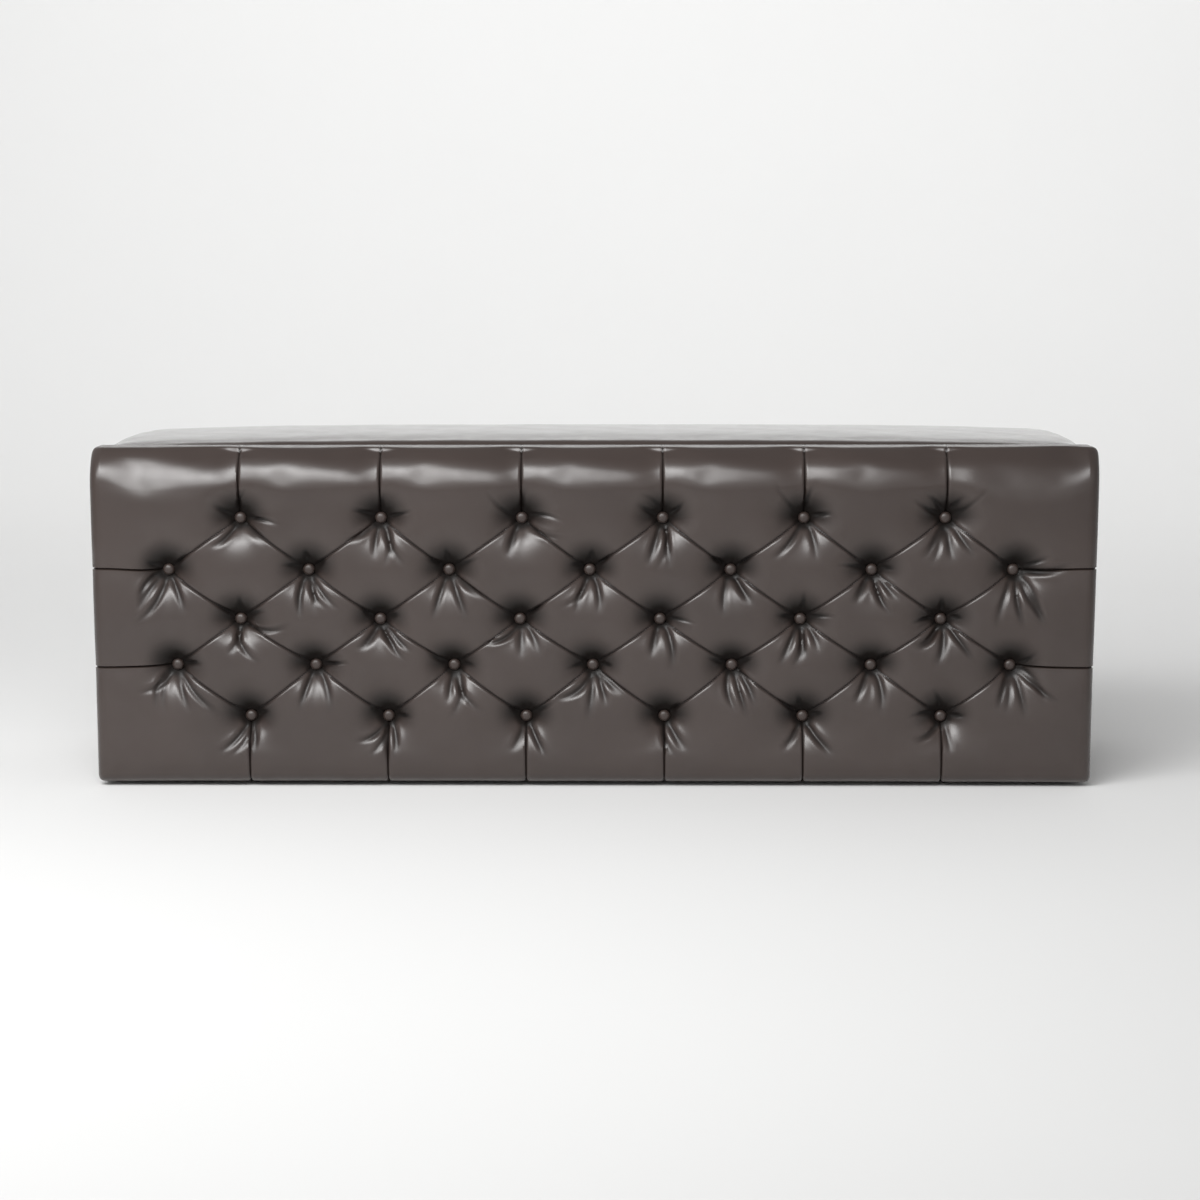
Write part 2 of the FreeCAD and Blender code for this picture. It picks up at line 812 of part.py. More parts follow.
cover = doc.addObject("PartDesign::Body", "front_cover_body")
outline = sketch_on(cover, "YZ_Plane", "front_cover_outline")
polygon(
    outline,
    ("front_face", "base_level"),
    ("front_board_face", "base_level"),
    ("front_board_face", "pad_top"),
    ("front_board_back", "pad_top"),
    ("front_board_back", "front_top_height"),
    ("front_face", "front_top_height"),
)
blank = pad(cover, outline, "bench_length", midplane=True)
rolls = (("top_roll_radius", "front_top_height"), ("bottom_roll_radius", "base_level"))
for radius, height in rolls:
    blank = body_fillet(
        cover, blank, radius, lambda p: near(p.y, "front_face") and near(p.z, height)
    )
body_fillet(
    cover,
    blank,
    "end_roll_radius",
    lambda p: near(abs(p.x), "half_length") and near(p.y, "front_face"),
)
board_space = block(
    "front_board_space",
    both("box_half"),
    ("front_board_face", "front_board_back + cut_overrun"),
    ("base_level", "front_board_top"),
)
doc.recompute()
tufted = doc.addObject("Part::Feature", "tufted_cover")
tufted_shape = cover.Shape.cut([front_foam.Shape, board_space.Shape])
for cutters in front_cutters():
    tufted_shape = tufted_shape.cut(cutters)
tufted.Shape = tufted_shape
node(tufted, "front_tufted_cover")


def button():
    """A covered button: flat back with a blind twine hole, straight rim and domed face."""
    radius, rim, tall = value("button_radius"), value("button_rim"), value("button_height")
    bore, grip = value("twine_bore"), value("twine_grip")
    rise = tall - rim
    sphere = (radius**2 + rise**2) / (2 * rise)
    sweep = math.asin(radius / sphere) / 2
    middle = (sphere * math.sin(sweep), tall - sphere + sphere * math.cos(sweep))
    outline = [(bore, 0), (radius, 0), (radius, rim), middle, (0, tall), (0, grip), (bore, grip)]
    return turned(outline, SIDES["button"])


def twine():
    """The twine of one button, from inside the button to the knot behind its washer."""
    radius, knot, grip = value("twine_radius"), value("knot_radius"), value("twine_grip")
    seat = value("tuft_seat - washer_back")
    end = seat - value("knot_length")
    outline = [(0, grip), (radius, grip), (radius, seat), (knot, seat), (0, end)]
    return turned(outline, SIDES["twine"])


def washer():
    """The washer that a twine pulls against, in its pocket behind the front board."""
    front, rear = value("tuft_seat - washer_seat"), value("tuft_seat - washer_back")
    bore, radius = value("twine_bore"), value("washer_radius")
    return turned([(bore, rear), (radius, rear), (radius, front), (bore, front)], SIDES["washer"])


tuft_spots = [Vector(x, value("tuft_seat"), z) for x, z in tufts]
for label, shape in (
    ("tuft_buttons", button()),
    ("tuft_twines", twine()),
    ("tuft_washers", washer()),
):
    node(solids(f"{label}_group", [placed(shape, spot, -BACK) for spot in tuft_spots]), label)


# Plain ends and back

for side, sign in sides.items():
    foam = block(
        f"{side}_end_foam_slab",
        beside(sign, "box_half", "half_length - end_cover_skin"),
        ("front_board_face + end_cover_skin", "hinge_axis_depth - end_cover_skin"),
        ("base_level + end_cover_skin", "pad_top - end_cover_skin"),
    )
    node(foam, f"{side}_end_foam")
    blank = block(
        f"{side}_end_cover_blank",
        beside(sign, "box_half", "half_length"),
        ("front_board_face", "hinge_axis_depth"),
        ("base_level", "pad_top"),
    )
    soft = rounded(
        f"{side}_end_cover_soft",
        blank,
        value("pad_edge_radius"),
        lambda p: near(abs(p.x), "half_length"),
    )
    node(cut(f"{side}_end_cover_cut", soft, foam), f"{side}_end_cover")

back_foam = block(
    "back_foam_slab",
    both("box_half - back_cover_skin"),
    ("back_board_face", "hinge_axis_depth - back_cover_skin"),
    ("base_level + back_cover_skin", "notch_bottom - back_cover_skin"),
)
node(back_foam, "back_foam")
back_blank = block(
    "back_cover_blank",
    both("box_half"),
    ("back_board_face", "hinge_axis_depth"),
    ("base_level", "pad_top"),
)
back_soft = rounded(
    "back_cover_soft",
    back_blank,
    value("pad_edge_radius"),
    lambda p: near(p.y, "hinge_axis_depth") and not near(abs(p.x), "box_half"),
)
back_notches = [
    block(
        f"{side}_back_notch",
        (f"{spot} - notch_half", f"{spot} + notch_half"),
        ("back_board_face", "hinge_axis_depth + cut_overrun"),
        ("notch_bottom", "rim_height + cut_overrun"),
    )
    for side, spot in hinge_spots.items()
]
node(cut("back_cover_cut", back_soft, back_foam, *back_notches), "back_cover")


# Lid

lid_board = block(
    "lid_board_blank",
    both("lid_half - lid_cover_wall"),
    ("lid_front + lid_cover_wall", "lid_rear - lid_cover_wall"),
    ("lid_bottom", "lid_board_top"),
)
lid_mortises = [
    block(
        f"{side}_lid_mortise",
        (f"{spot} - hinge_length / 2 - mortise_gap", f"{spot} + hinge_length / 2 + mortise_gap"),
        ("hinge_axis_depth - leaf_width - mortise_gap", "hinge_axis_depth"),
        ("lid_bottom - cut_overrun", "hinge_axis_height + leaf_drop"),
    )
    for side, spot in hinge_spots.items()
]
lid_grooved = cut("lid_board_grooved", lid_board, *lid_mortises)
node(cut("lid_board_cut", lid_grooved, hinge_lid_bores), "lid_board")

lid_foam = block(
    "lid_foam_slab",
    both("lid_half - lid_foam_inset"),
    ("lid_front + lid_foam_inset", "lid_rear - lid_foam_inset"),
    ("lid_board_top", "lid_foam_top"),
)
node(lid_foam, "lid_foam")


def lid_section(x, rise_share, corner_share):
    """The lid's outline across the bench at one place: flat bottom, soft shoulders and crown."""
    corner = corner_share * value("lid_corner_inset")
    front, rear = value("lid_front") + corner, value("lid_rear") - corner
    crest = value("seat_height") - (1 - rise_share) * value("lid_end_drop")
    radius, rise = value("lid_shoulder_radius"), value("lid_crown_rise")
    middle = (front + rear) / 2
    crown_half = middle - front - radius
    crown = (crown_half**2 + rise**2) / (2 * rise)
    lean = math.asin(crown_half / crown)

    def at(y, z):
        return Vector(x, y, z)

    def shoulder(angle):
        """Points of the two shoulders, mirrored, at an angle up from the sides."""
        across = middle - front - radius + radius * math.cos(angle)
        height = crest - rise - radius * math.cos(lean) + radius * math.sin(angle)
        return at(middle - across, height), at(middle + across, height)

    sides_up, half_way, tops = shoulder(0), shoulder(lean / 2), shoulder(lean)
    edges = [
        Part.LineSegment(at(front, value("lid_bottom")), sides_up[0]),
        Part.Arc(sides_up[0], half_way[0], tops[0]),
        Part.Arc(tops[0], at(middle, crest), tops[1]),
        Part.Arc(tops[1], half_way[1], sides_up[1]),
        Part.LineSegment(sides_up[1], at(rear, value("lid_bottom"))),
        Part.LineSegment(at(rear, value("lid_bottom")), at(front, value("lid_bottom"))),
    ]
    return Part.Wire([edge.toShape() for edge in edges])


stations = list(zip(lid_run_shares, lid_rise_shares, lid_corner_shares))
lid_sections = []
for sign, order in ((-1, stations), (1, stations[::-1])):
    for run_share, rise_share, corner_share in order:
        x = sign * (value("lid_half") - run_share * value("lid_end_run"))
        lid_sections.append(lid_section(x, rise_share, corner_share))
lid_form = doc.addObject("Part::Feature", "lid_cover_form")
lid_form.Shape = Part.makeLoft(lid_sections, True, True)
lid_notches = [
    block(
        f"{side}_lid_notch",
        (f"{spot} - notch_half", f"{spot} + notch_half"),
        ("lid_rear - lid_cover_wall", "hinge_axis_depth + cut_overrun"),
        ("lid_bottom - cut_overrun", "notch_top"),
    )
    for side, spot in hinge_spots.items()
]
hollow = cut("lid_cover_hollow", lid_form, lid_board, lid_foam)
node(cut("lid_cover_cut", hollow, *lid_notches), "lid_cover")

lid_liner = block(
    "lid_liner_sheet",
    both("inner_half - lid_liner_margin"),
    ("lid_front + lid_cover_wall + lid_liner_margin", "back_board_inner - lid_liner_margin"),
    ("lid_liner_bottom", "lid_bottom"),
)
node(lid_liner, "lid_liner")
lid_batten_depth = (
    "front_board_back + rail_width + lid_batten_margin",
    "back_board_inner - rail_width - lid_batten_margin",
)
lid_batten_pair = [
    block(
        f"{side}_lid_batten",
        beside(
            sign,
            "lid_batten_place - lid_batten_width / 2",
            "lid_batten_place + lid_batten_width / 2",
        ),
        lid_batten_depth,
        ("lid_liner_bottom - lid_batten_height", "lid_liner_bottom"),
    )
    for side, sign in sides.items()
]
node(compound("lid_batten_pair", *lid_batten_pair), "lid_battens")


# Hinges


def leaf(name, knuckles):
    """A hinge leaf about the X axis, its plate below and in front of the axis."""
    body = doc.addObject("PartDesign::Body", f"{name}_body")
    plate = sketch_on(body, "YZ_Plane", f"{name}_plate")
    rectangle(plate, ("-leaf_width", "0"), ("-leaf_drop", "-leaf_lift"))
    pad(body, plate, "hinge_length", midplane=True)
    barrel = sketch_on(body, "YZ_Plane", f"{name}_barrel")
    facet_circle(barrel, "0", "0", "knuckle_radius", SIDES["barrel"])
    pad(body, barrel, "hinge_length", midplane=True)
    bore = sketch_on(body, "YZ_Plane", f"{name}_bore")
    circle(bore, "0", "0", "pin_radius + running_gap")
    pocket_through(body, bore)
    gaps = sketch_on(body, "XY_Plane", f"{name}_gaps")
    for number in range(KNUCKLES):
        if number in knuckles:
            continue
        left = f"knuckle_length * {number} - hinge_length / 2"
        right = f"knuckle_length * {number + 1} - hinge_length / 2"
        left += " - cut_overrun" if number == 0 else " - knuckle_gap / 2"
        right += " + cut_overrun" if number == KNUCKLES - 1 else " + knuckle_gap / 2"
        rectangle(gaps, (left, right), both("knuckle_radius + knuckle_gap"))
    pocket_through(body, gaps)
    return body


def pin():
    """A hinge pin about Z with a head at each end."""
    half, tall = value("hinge_length / 2"), value("pin_head_height")
    radius, head = value("pin_radius"), value("pin_head_radius")
    shank = Part.makeCylinder(radius, 2 * half, Vector(0, 0, -half))
    heads = [rod(head, low, low + tall, SIDES["pin_head"]) for low in (half, -half - tall)]
    return shank.fuse(heads).removeSplitter()


leaves = {
    "base": (range(0, KNUCKLES, 2), FreeCAD.Rotation(), hinge_base_bores),
    "lid": (range(1, KNUCKLES, 2), FreeCAD.Rotation(BACK, 180), hinge_lid_bores),
}
for side, spot in hinge_spots.items():
    axis = (spot, "hinge_axis_depth", "hinge_axis_height")
    for carrier, (knuckles, turn, bores) in leaves.items():
        body = leaf(f"{side}_{carrier}_leaf", knuckles)
        body.Placement = FreeCAD.Placement(Vector(*map(value, axis)), turn)
        for letter, text in zip("xyz", axis):
            body.setExpression(f"Placement.Base.{letter}", bound(text))
        drilled = cut(f"{side}_{carrier}_leaf_drilled", body, bores)
        node(drilled, f"hinge_{side}_{carrier}_leaf")
    hinge_pin = doc.addObject("Part::Feature", f"{side}_pin")
    hinge_pin.Shape = pin()
    hinge_pin.Placement = FreeCAD.Placement(
        Vector(*map(value, axis)), FreeCAD.Rotation(UP, RIGHT)
    )
    node(hinge_pin, f"hinge_{side}_pin")


# Last build, checks and files

doc.recompute()
for feature in doc.Objects:
    if {"Invalid", "Error"} & set(feature.State):
        raise RuntimeError(f"{feature.Label} failed: {feature.State}")
for feature in nodes:
    shape = feature.Shape
    if shape.isNull() or not shape.isValid() or not shape.Solids:
        raise RuntimeError(f"{feature.Label} has no valid solid")

os.makedirs("parts", exist_ok=True)
for feature in nodes:
    shape = feature.Shape
    shape.exportStep(f"parts/{feature.Label}.step")
    print(f"{feature.Label}: {len(shape.Solids)} solids, {shape.Volume / 1000:.1f} cm3")
box = Part.Compound([feature.Shape for feature in nodes]).BoundBox
print(f"{len(nodes)} nodes, {box.XLength:.1f} x {box.YLength:.1f} x {box.ZLength:.1f} mm")
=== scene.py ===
import math
import bpy
import numpy as np
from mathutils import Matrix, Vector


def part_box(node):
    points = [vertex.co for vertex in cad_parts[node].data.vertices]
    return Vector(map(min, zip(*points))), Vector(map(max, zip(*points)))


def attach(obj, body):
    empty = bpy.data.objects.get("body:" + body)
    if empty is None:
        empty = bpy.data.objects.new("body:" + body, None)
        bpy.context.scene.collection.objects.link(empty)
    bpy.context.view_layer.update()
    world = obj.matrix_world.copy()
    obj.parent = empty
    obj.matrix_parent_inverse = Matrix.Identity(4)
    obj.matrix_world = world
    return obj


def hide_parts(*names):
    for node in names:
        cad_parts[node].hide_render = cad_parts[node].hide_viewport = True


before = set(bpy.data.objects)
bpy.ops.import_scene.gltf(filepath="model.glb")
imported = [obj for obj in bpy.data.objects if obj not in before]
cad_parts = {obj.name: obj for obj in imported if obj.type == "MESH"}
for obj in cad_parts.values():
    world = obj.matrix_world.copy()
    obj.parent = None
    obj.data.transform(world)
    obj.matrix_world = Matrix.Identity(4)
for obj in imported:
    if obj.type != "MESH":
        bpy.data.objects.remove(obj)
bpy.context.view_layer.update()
mm = 0.001
tiny = 1e-9     # added to a length before a division by it
snap = 1e-6     # lattice points closer than this are the same point


# small helpers for arrays and meshes

def smoothStep(span, value, start=0.0, scale=1.0):
    # cubic ramp from 0 to 1 over a span, which is scaled and counted from start
    low, high = (start + scale * end for end in span)
    t = np.clip((value - low) / (high - low), 0, 1)
    return t * t * (3 - 2 * t)


def gridQuads(columns, rows):
    # quads of a columns by rows grid, numbered row by row, counterclockwise seen from outside
    i, j = np.meshgrid(np.arange(columns - 1), np.arange(rows - 1))
    corner = (j * columns + i).ravel()
    return np.stack([corner, corner + 1, corner + columns + 1, corner + columns], 1)


def borderLoop(columns, rows):
    # the grid's outer vertices in order, counterclockwise
    bottom = np.arange(columns)
    right = np.arange(1, rows) * columns + columns - 1
    top = (rows - 1) * columns + np.arange(columns - 2, -1, -1)
    left = np.arange(rows - 2, 0, -1) * columns
    return np.concatenate([bottom, right, top, left])


def faceTuples(faces):
    return list(map(tuple, faces.tolist()))


def panelFaces(points):
    # quads of a panel's grid, and one face that closes its back
    rows, columns = points.shape[:2]
    closing = borderLoop(columns, rows)[::-1]
    return faceTuples(gridQuads(columns, rows)) + [tuple(closing.tolist())]


def nodeBox(node):
    low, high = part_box(node)
    return np.array(low), np.array(high)


def makeObject(name, points, faces, material):
    # smooth mesh whose place is in its vertices
    mesh = bpy.data.meshes.new(name)
    mesh.from_pydata(points.reshape(-1, 3), [], faces)
    mesh.update()
    mesh.polygons.foreach_set("use_smooth", np.ones(len(mesh.polygons), bool))
    mesh.materials.append(material)
    made = bpy.data.objects.new(name, mesh)
    bpy.context.scene.collection.objects.link(made)
    return made


def makePiece(name, points, faces, material, body):
    piece = makeObject(name, points, faces, material)
    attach(piece, body)
    return piece


def coverPiece(name, body, points, material, fill, *nodes):
    # closed padded panel, which stands for the given nodes
    piece = makePiece(name, points, panelFaces(points), material, body)
    if nodes:
        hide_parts(*nodes)
    return piece


def slowWaves(a, b, waves):
    # product of two slow sines, one along each direction, each bent by a sine of the other direction
    bend, bendRate = waves["bend"]
    sway, swayRate = waves["sway"]
    along = np.sin(waves["along"] * a + bend * np.sin(bendRate * b))
    return along * np.sin(waves["across"] * b + waves["start"] + sway * np.sin(swayRate * a))


# shader node helpers and shared groups

def addNode(tree, kind, values=None, **settings):
    node = tree.nodes.new(kind)
    for key, value in settings.items():
        setattr(node, key, value)
    for key, value in (values or {}).items():
        socket = node.inputs[key]
        if isinstance(value, bpy.types.NodeSocket):
            tree.links.new(value, socket)
        else:
            socket.default_value = value
    return node


def startGroup(name, inputs, outputs):
    group = bpy.data.node_groups.new(name, "ShaderNodeTree")
    for socket, value in inputs.items():
        item = group.interface.new_socket(name=socket, in_out="INPUT", socket_type="NodeSocketFloat")
        item.default_value = value
    for socket in outputs:
        group.interface.new_socket(name=socket, in_out="OUTPUT", socket_type="NodeSocketFloat")
    return group, group.nodes.new("NodeGroupInput"), group.nodes.new("NodeGroupOutput")


def mathNode(tree, operation, first, second, clamp=False):
    node = addNode(tree, "ShaderNodeMath", {0: first, 1: second}, operation=operation, use_clamp=clamp)
    return node.outputs[0]


def ramp(tree, value, low, high, start=0.0, end=1.0):
    names = {"Value": value, "From Min": low, "From Max": high, "To Min": start, "To Max": end}
    return addNode(tree, "ShaderNodeMapRange", names).outputs[0]


def mixColour(tree, share, first, second):
    node = addNode(tree, "ShaderNodeMix", {0: share, 6: first, 7: second}, data_type="RGBA")
    return node.outputs[2]


def objectPlace(tree):
    return addNode(tree, "ShaderNodeTexCoord").outputs["Object"]


def noise(tree, place, scale, detail):
    return addNode(tree, "ShaderNodeTexNoise", {"Vector": place, "Scale": scale, "Detail": detail}).outputs[0]


wideNoise = (0.3, 0.7)      # noise values that a full ramp is taken over
hardNoise = (0.35, 0.65)    # the same, for a harder speckle
hide = {"cells": 700.0, "uneven": 0.9, "pores": 2600.0, "poreShare": 0.25, "patches": 7.0, "smears": 55.0}


def makeHideGrain():
    # pebbled vinyl: close cells with soft borders, fine pores, slow patches of tone and gloss
    scales = {"Cell Scale": hide["cells"], "Patch Scale": hide["patches"]}
    group, source, sink = startGroup("hideGrain", scales, ["Height", "Tone", "Gloss"])
    place = objectPlace(group)
    values = {"Vector": place, "Scale": source.outputs["Cell Scale"], "Randomness": hide["uneven"]}
    cells = addNode(group, "ShaderNodeTexVoronoi", values, feature="SMOOTH_F1")
    pores = noise(group, place, hide["pores"], 2.0)
    patches = noise(group, place, source.outputs["Patch Scale"], 3.0)
    smears = noise(group, place, hide["smears"], 4.0)
    pebble = mathNode(group, "SUBTRACT", 1.0, cells.outputs["Distance"])
    height = mathNode(group, "ADD", pebble, mathNode(group, "MULTIPLY", pores, hide["poreShare"]))
    group.links.new(height, sink.inputs["Height"])
    group.links.new(ramp(group, patches, *wideNoise), sink.inputs["Tone"])
    group.links.new(ramp(group, smears, *wideNoise), sink.inputs["Gloss"])
    return group


weave = {"threads": 900.0, "uneven": 0.6, "yarn": 240.0}


def makeCloseWeave():
    # plain weave: two sets of threads at right angles, over and under, with uneven yarn
    group, source, sink = startGroup("closeWeave", {"Threads": weave["threads"]}, ["Height", "Tone"])
    place = objectPlace(group)
    bands = []
    for axis in ("X", "Y", "Z"):
        values = {"Vector": place, "Scale": source.outputs["Threads"], "Distortion": weave["uneven"]}
        bands.append(addNode(group, "ShaderNodeTexWave", values, bands_direction=axis).outputs["Fac"])
    crossings = [mathNode(group, "MULTIPLY", bands[i], bands[j]) for i, j in ((0, 1), (0, 2), (1, 2))]
    cloth = mathNode(group, "MAXIMUM", crossings[0], crossings[1])
    cloth = mathNode(group, "MAXIMUM", cloth, crossings[2])
    group.links.new(cloth, sink.inputs["Height"])
    yarn = noise(group, place, weave["yarn"], 4.0)
    group.links.new(ramp(group, yarn, *wideNoise), sink.inputs["Tone"])
    return group


board = {
    "rings": 26.0, "ringStretch": 0.12, "ringBend": 7.0, "ringSpan": (0.1, 0.9),
    "poreStretch": 0.03, "pores": 1500.0,
}


def makeBoardGrain(name, axis):
    # sawn softwood: long rings from a wave stretched along one axis, with pores
    group, source, sink = startGroup(name, {"Ring Scale": board["rings"]}, ["Tone", "Pores"])
    place = objectPlace(group)
    ringStretch = [board["ringStretch"] if axis == k else 1.0 for k in range(3)]
    poreStretch = [board["poreStretch"] if axis == k else 1.0 for k in range(3)]
    along = addNode(group, "ShaderNodeMapping", {"Vector": place, "Scale": ringStretch}).outputs[0]
    values = {"Vector": along, "Scale": source.outputs["Ring Scale"], "Distortion": board["ringBend"],
              "Detail": 3.0, "Detail Scale": 1.6}
    rings = addNode(group, "ShaderNodeTexWave", values, wave_type="RINGS").outputs["Fac"]
    fine = addNode(group, "ShaderNodeMapping", {"Vector": place, "Scale": poreStretch}).outputs[0]
    group.links.new(ramp(group, rings, *board["ringSpan"]), sink.inputs["Tone"])
    group.links.new(ramp(group, noise(group, fine, board["pores"], 3.0), *hardNoise), sink.inputs["Pores"])
    return group


# materials

def startMaterial(name, **fixed):
    material = bpy.data.materials.new(name)
    material.use_nodes = True
    tree = material.node_tree
    shader = tree.nodes["Principled BSDF"]
    for key, value in fixed.items():
        shader.inputs[key.replace("_", " ")].default_value = value
    return material, tree, shader


def bumpInto(tree, shader, height, strength, distance):
    bump = addNode(tree, "ShaderNodeBump", {"Height": height, "Strength": strength, "Distance": distance})
    tree.links.new(bump.outputs[0], shader.inputs["Normal"])


vinyl = {
    "dark": (0.032, 0.0218, 0.0185, 1), "light": (0.040, 0.0277, 0.0236, 1),
    # near-black painted shade for creases and hollows, how strongly it is laid on, and how much coat it takes
    # away
    "paintedShadeColour": (0.004, 0.003, 0.0025, 1), "rough": (0.36, 0.48), "specular": 0.2,
    "paintedShadeStrength": 0.95, "paintedShadeDull": 0.93, "grainDepth": 0.25 * mm,
}


def makeVinyl(name, coat=(1.0, 0.85), coatRough=0.27, grainBump=0.12, hasPaintedShade=False):
    # vinyl under a clear coat, both varied by the hide grain; optionally with shade painted into its creases
    # and hollows
    material, tree, shader = startMaterial(
        name, Specular_IOR_Level=vinyl["specular"], Coat_Roughness=coatRough)
    grain = addNode(tree, "ShaderNodeGroup", node_tree=hideGrain)
    colour = mixColour(tree, grain.outputs["Tone"], vinyl["dark"], vinyl["light"])
    rough = ramp(tree, grain.outputs["Gloss"], 0.0, 1.0, *vinyl["rough"])
    gloss = ramp(tree, grain.outputs["Gloss"], 0.0, 1.0, *coat)
    if hasPaintedShade:   # painted shade: the mask darkens the colour and thins the coat in the creases and hollows
        paintedShade = addNode(tree, "ShaderNodeAttribute", attribute_name="paintedShade").outputs["Fac"]
        share = mathNode(tree, "MULTIPLY", paintedShade, vinyl["paintedShadeStrength"], True)
        colour = mixColour(tree, share, colour, vinyl["paintedShadeColour"])
        gloss = mathNode(tree, "MULTIPLY", gloss, ramp(tree, paintedShade, 0.0, 1.0, 1.0, 1 - vinyl["paintedShadeDull"]))
    tree.links.new(colour, shader.inputs["Base Color"])
    tree.links.new(rough, shader.inputs["Roughness"])
    tree.links.new(gloss, shader.inputs["Coat Weight"])
    bumpInto(tree, shader, grain.outputs["Height"], grainBump, vinyl["grainDepth"])
    return material


cloth = {"rough": 0.9, "specular": 0.2, "gapShade": 0.35, "threadDepth": 0.4 * mm}


def makeCloth(name, dark, light, threads, bump):
    # woven cloth, darker in the gaps between its threads
    material, tree, shader = startMaterial(
        name, Roughness=cloth["rough"], Specular_IOR_Level=cloth["specular"])
    woven = addNode(tree, "ShaderNodeGroup", {"Threads": threads}, node_tree=closeWeave)
    colour = mixColour(tree, woven.outputs["Tone"], dark, light)
    shade = ramp(tree, woven.outputs["Height"], 0.0, 1.0, cloth["gapShade"], 0.0)
    tree.links.new(mixColour(tree, shade, colour, dark), shader.inputs["Base Color"])
    bumpInto(tree, shader, woven.outputs["Height"], bump, cloth["threadDepth"])
    return material


pine = {
    "dark": (0.33, 0.19, 0.085, 1), "light": (0.55, 0.38, 0.21, 1),
    "battenDark": (0.40, 0.26, 0.135, 1), "battenLight": (0.52, 0.37, 0.22, 1),
    "specular": 0.3, "poreShade": 0.25, "rough": (0.5, 0.72), "poreBump": 0.2, "poreDepth": 0.3 * mm,
}


def makeWood(name, dark, light, ringScale, grainGroup):
    # bare softwood: dark rings and darker, rougher pores
    material, tree, shader = startMaterial(name, Specular_IOR_Level=pine["specular"])
    grain = addNode(tree, "ShaderNodeGroup", {"Ring Scale": ringScale}, node_tree=grainGroup)
    pores = grain.outputs["Pores"]
    colour = mixColour(tree, grain.outputs["Tone"], light, dark)
    colour = mixColour(tree, mathNode(tree, "MULTIPLY", pores, pine["poreShade"]), colour, dark)
    tree.links.new(colour, shader.inputs["Base Color"])
    tree.links.new(ramp(tree, pores, 0.0, 1.0, *pine["rough"]), shader.inputs["Roughness"])
    bumpInto(tree, shader, pores, pine["poreBump"], pine["poreDepth"])
    return material


speckles = {
    "zincSteel": {"dark": (0.42, 0.42, 0.40, 1), "light": (0.62, 0.62, 0.60, 1), "metal": 1.0,
                  "rough": (0.28, 0.45), "scale": 900.0, "bump": 0.08},
    "glidePlastic": {"dark": (0.018, 0.018, 0.018, 1), "light": (0.03, 0.03, 0.03, 1), "metal": 0.0,
                     "rough": (0.4, 0.55), "scale": 1500.0, "bump": 0.1},
    "waxedTwine": {"dark": (0.35, 0.3, 0.2, 1), "light": (0.55, 0.48, 0.34, 1), "metal": 0.0,
                   "rough": (0.7, 0.9), "scale": 2500.0, "bump": 0.4},
}
speckDepth = 0.3 * mm


def makeSpeckled(name):
    # zinc plate, moulded plastic and twine: speckle of tone, gloss and height at one scale
    look = speckles[name]
    material, tree, shader = startMaterial(name, Metallic=look["metal"])
    speckle = noise(tree, objectPlace(tree), look["scale"], 5.0)
    share = ramp(tree, speckle, *hardNoise)
    tree.links.new(mixColour(tree, share, look["dark"], look["light"]), shader.inputs["Base Color"])
    tree.links.new(ramp(tree, share, 0.0, 1.0, *look["rough"]), shader.inputs["Roughness"])
    bumpInto(tree, shader, speckle, look["bump"], speckDepth)
    return material


hideGrain = makeHideGrain()
closeWeave = makeCloseWeave()
longGrain = makeBoardGrain("boardGrainX", 0)
crossGrain = makeBoardGrain("boardGrainY", 1)
uprightGrain = makeBoardGrain("boardGrainZ", 2)
# the front's vinyl has shade painted into its creases and hollows
frontVinyl = makeVinyl("espressoVinylFront", hasPaintedShade=True)
plainVinyl = makeVinyl("espressoVinyl")
buttonVinyl = makeVinyl("espressoVinylButtons", coat=(0.75, 0.55), coatRough=0.4, grainBump=0.2)
lidVinyl = makeVinyl("espressoVinylLid", coat=(1.0, 0.9), coatRough=0.12, grainBump=0.05)
liningCloth = makeCloth(
    "liningCloth", (0.026, 0.025, 0.024, 1), (0.058, 0.055, 0.053, 1), threads=700.0, bump=0.5)
dustCloth = makeCloth(
    "dustCloth", (0.006, 0.006, 0.006, 1), (0.016, 0.016, 0.016, 1), threads=420.0, bump=0.7)
plainWood = makeWood("pineBoards", pine["dark"], pine["light"], 26.0, longGrain)
endWood = makeWood("pineEnds", pine["dark"], pine["light"], 26.0, crossGrain)
postWood = makeWood("pinePosts", pine["dark"], pine["light"], 30.0, uprightGrain)
battenWood = makeWood("battenWood", pine["battenDark"], pine["battenLight"], 40.0, crossGrain)
zincSteel = makeSpeckled("zincSteel")
glidePlastic = makeSpeckled("glidePlastic")
waxedTwine = makeSpeckled("waxedTwine")
print("materials made")


# padded panels: a sheet of flat cloth coordinates bent round the four edges of a box

def edgeSteps(radius, depth, bends, straights):
    # distances past the edge's start: even steps round a quarter circle, then straight back
    arc = radius * math.pi / 2
    bend = np.linspace(0, arc, bends + 1)
    straight = np.linspace(arc, arc + depth - radius, straights + 1)
    return np.concatenate([bend, straight[1:]])


def wrapEdges(a, b, half, low, high, radius, square=2.0):
    # excess past the inner rectangle turns round a quarter circle and then runs straight back;
    # the larger of the two excesses counts, so the back edge stays level at the corners, which are
    # round in outline at a square of 2 and sharper above it
    pastA = np.sign(a) * np.maximum(np.abs(a) - (half - radius), 0)
    pastB = np.maximum(b - (high - radius), 0) - np.maximum((low + radius) - b, 0)
    past = np.maximum(np.abs(pastA), np.abs(pastB))
    length = (np.abs(pastA) ** square + np.abs(pastB) ** square) ** (1 / square) + tiny
    turn = np.minimum(past / radius, math.pi / 2)
    out = radius * np.sin(turn)
    back = radius * (1 - np.cos(turn)) + np.maximum(past - radius * math.pi / 2, 0)
    flatA, flatB = a - pastA, b - pastB
    normal = np.stack([pastA / length * np.sin(turn), pastB / length * np.sin(turn), np.cos(turn)], -1)
    return flatA + pastA / length * out, flatB + pastB / length * out, back, normal


solver = {"pinLevels": 20, "mass": 0.25, "leastMove": 1e-12}


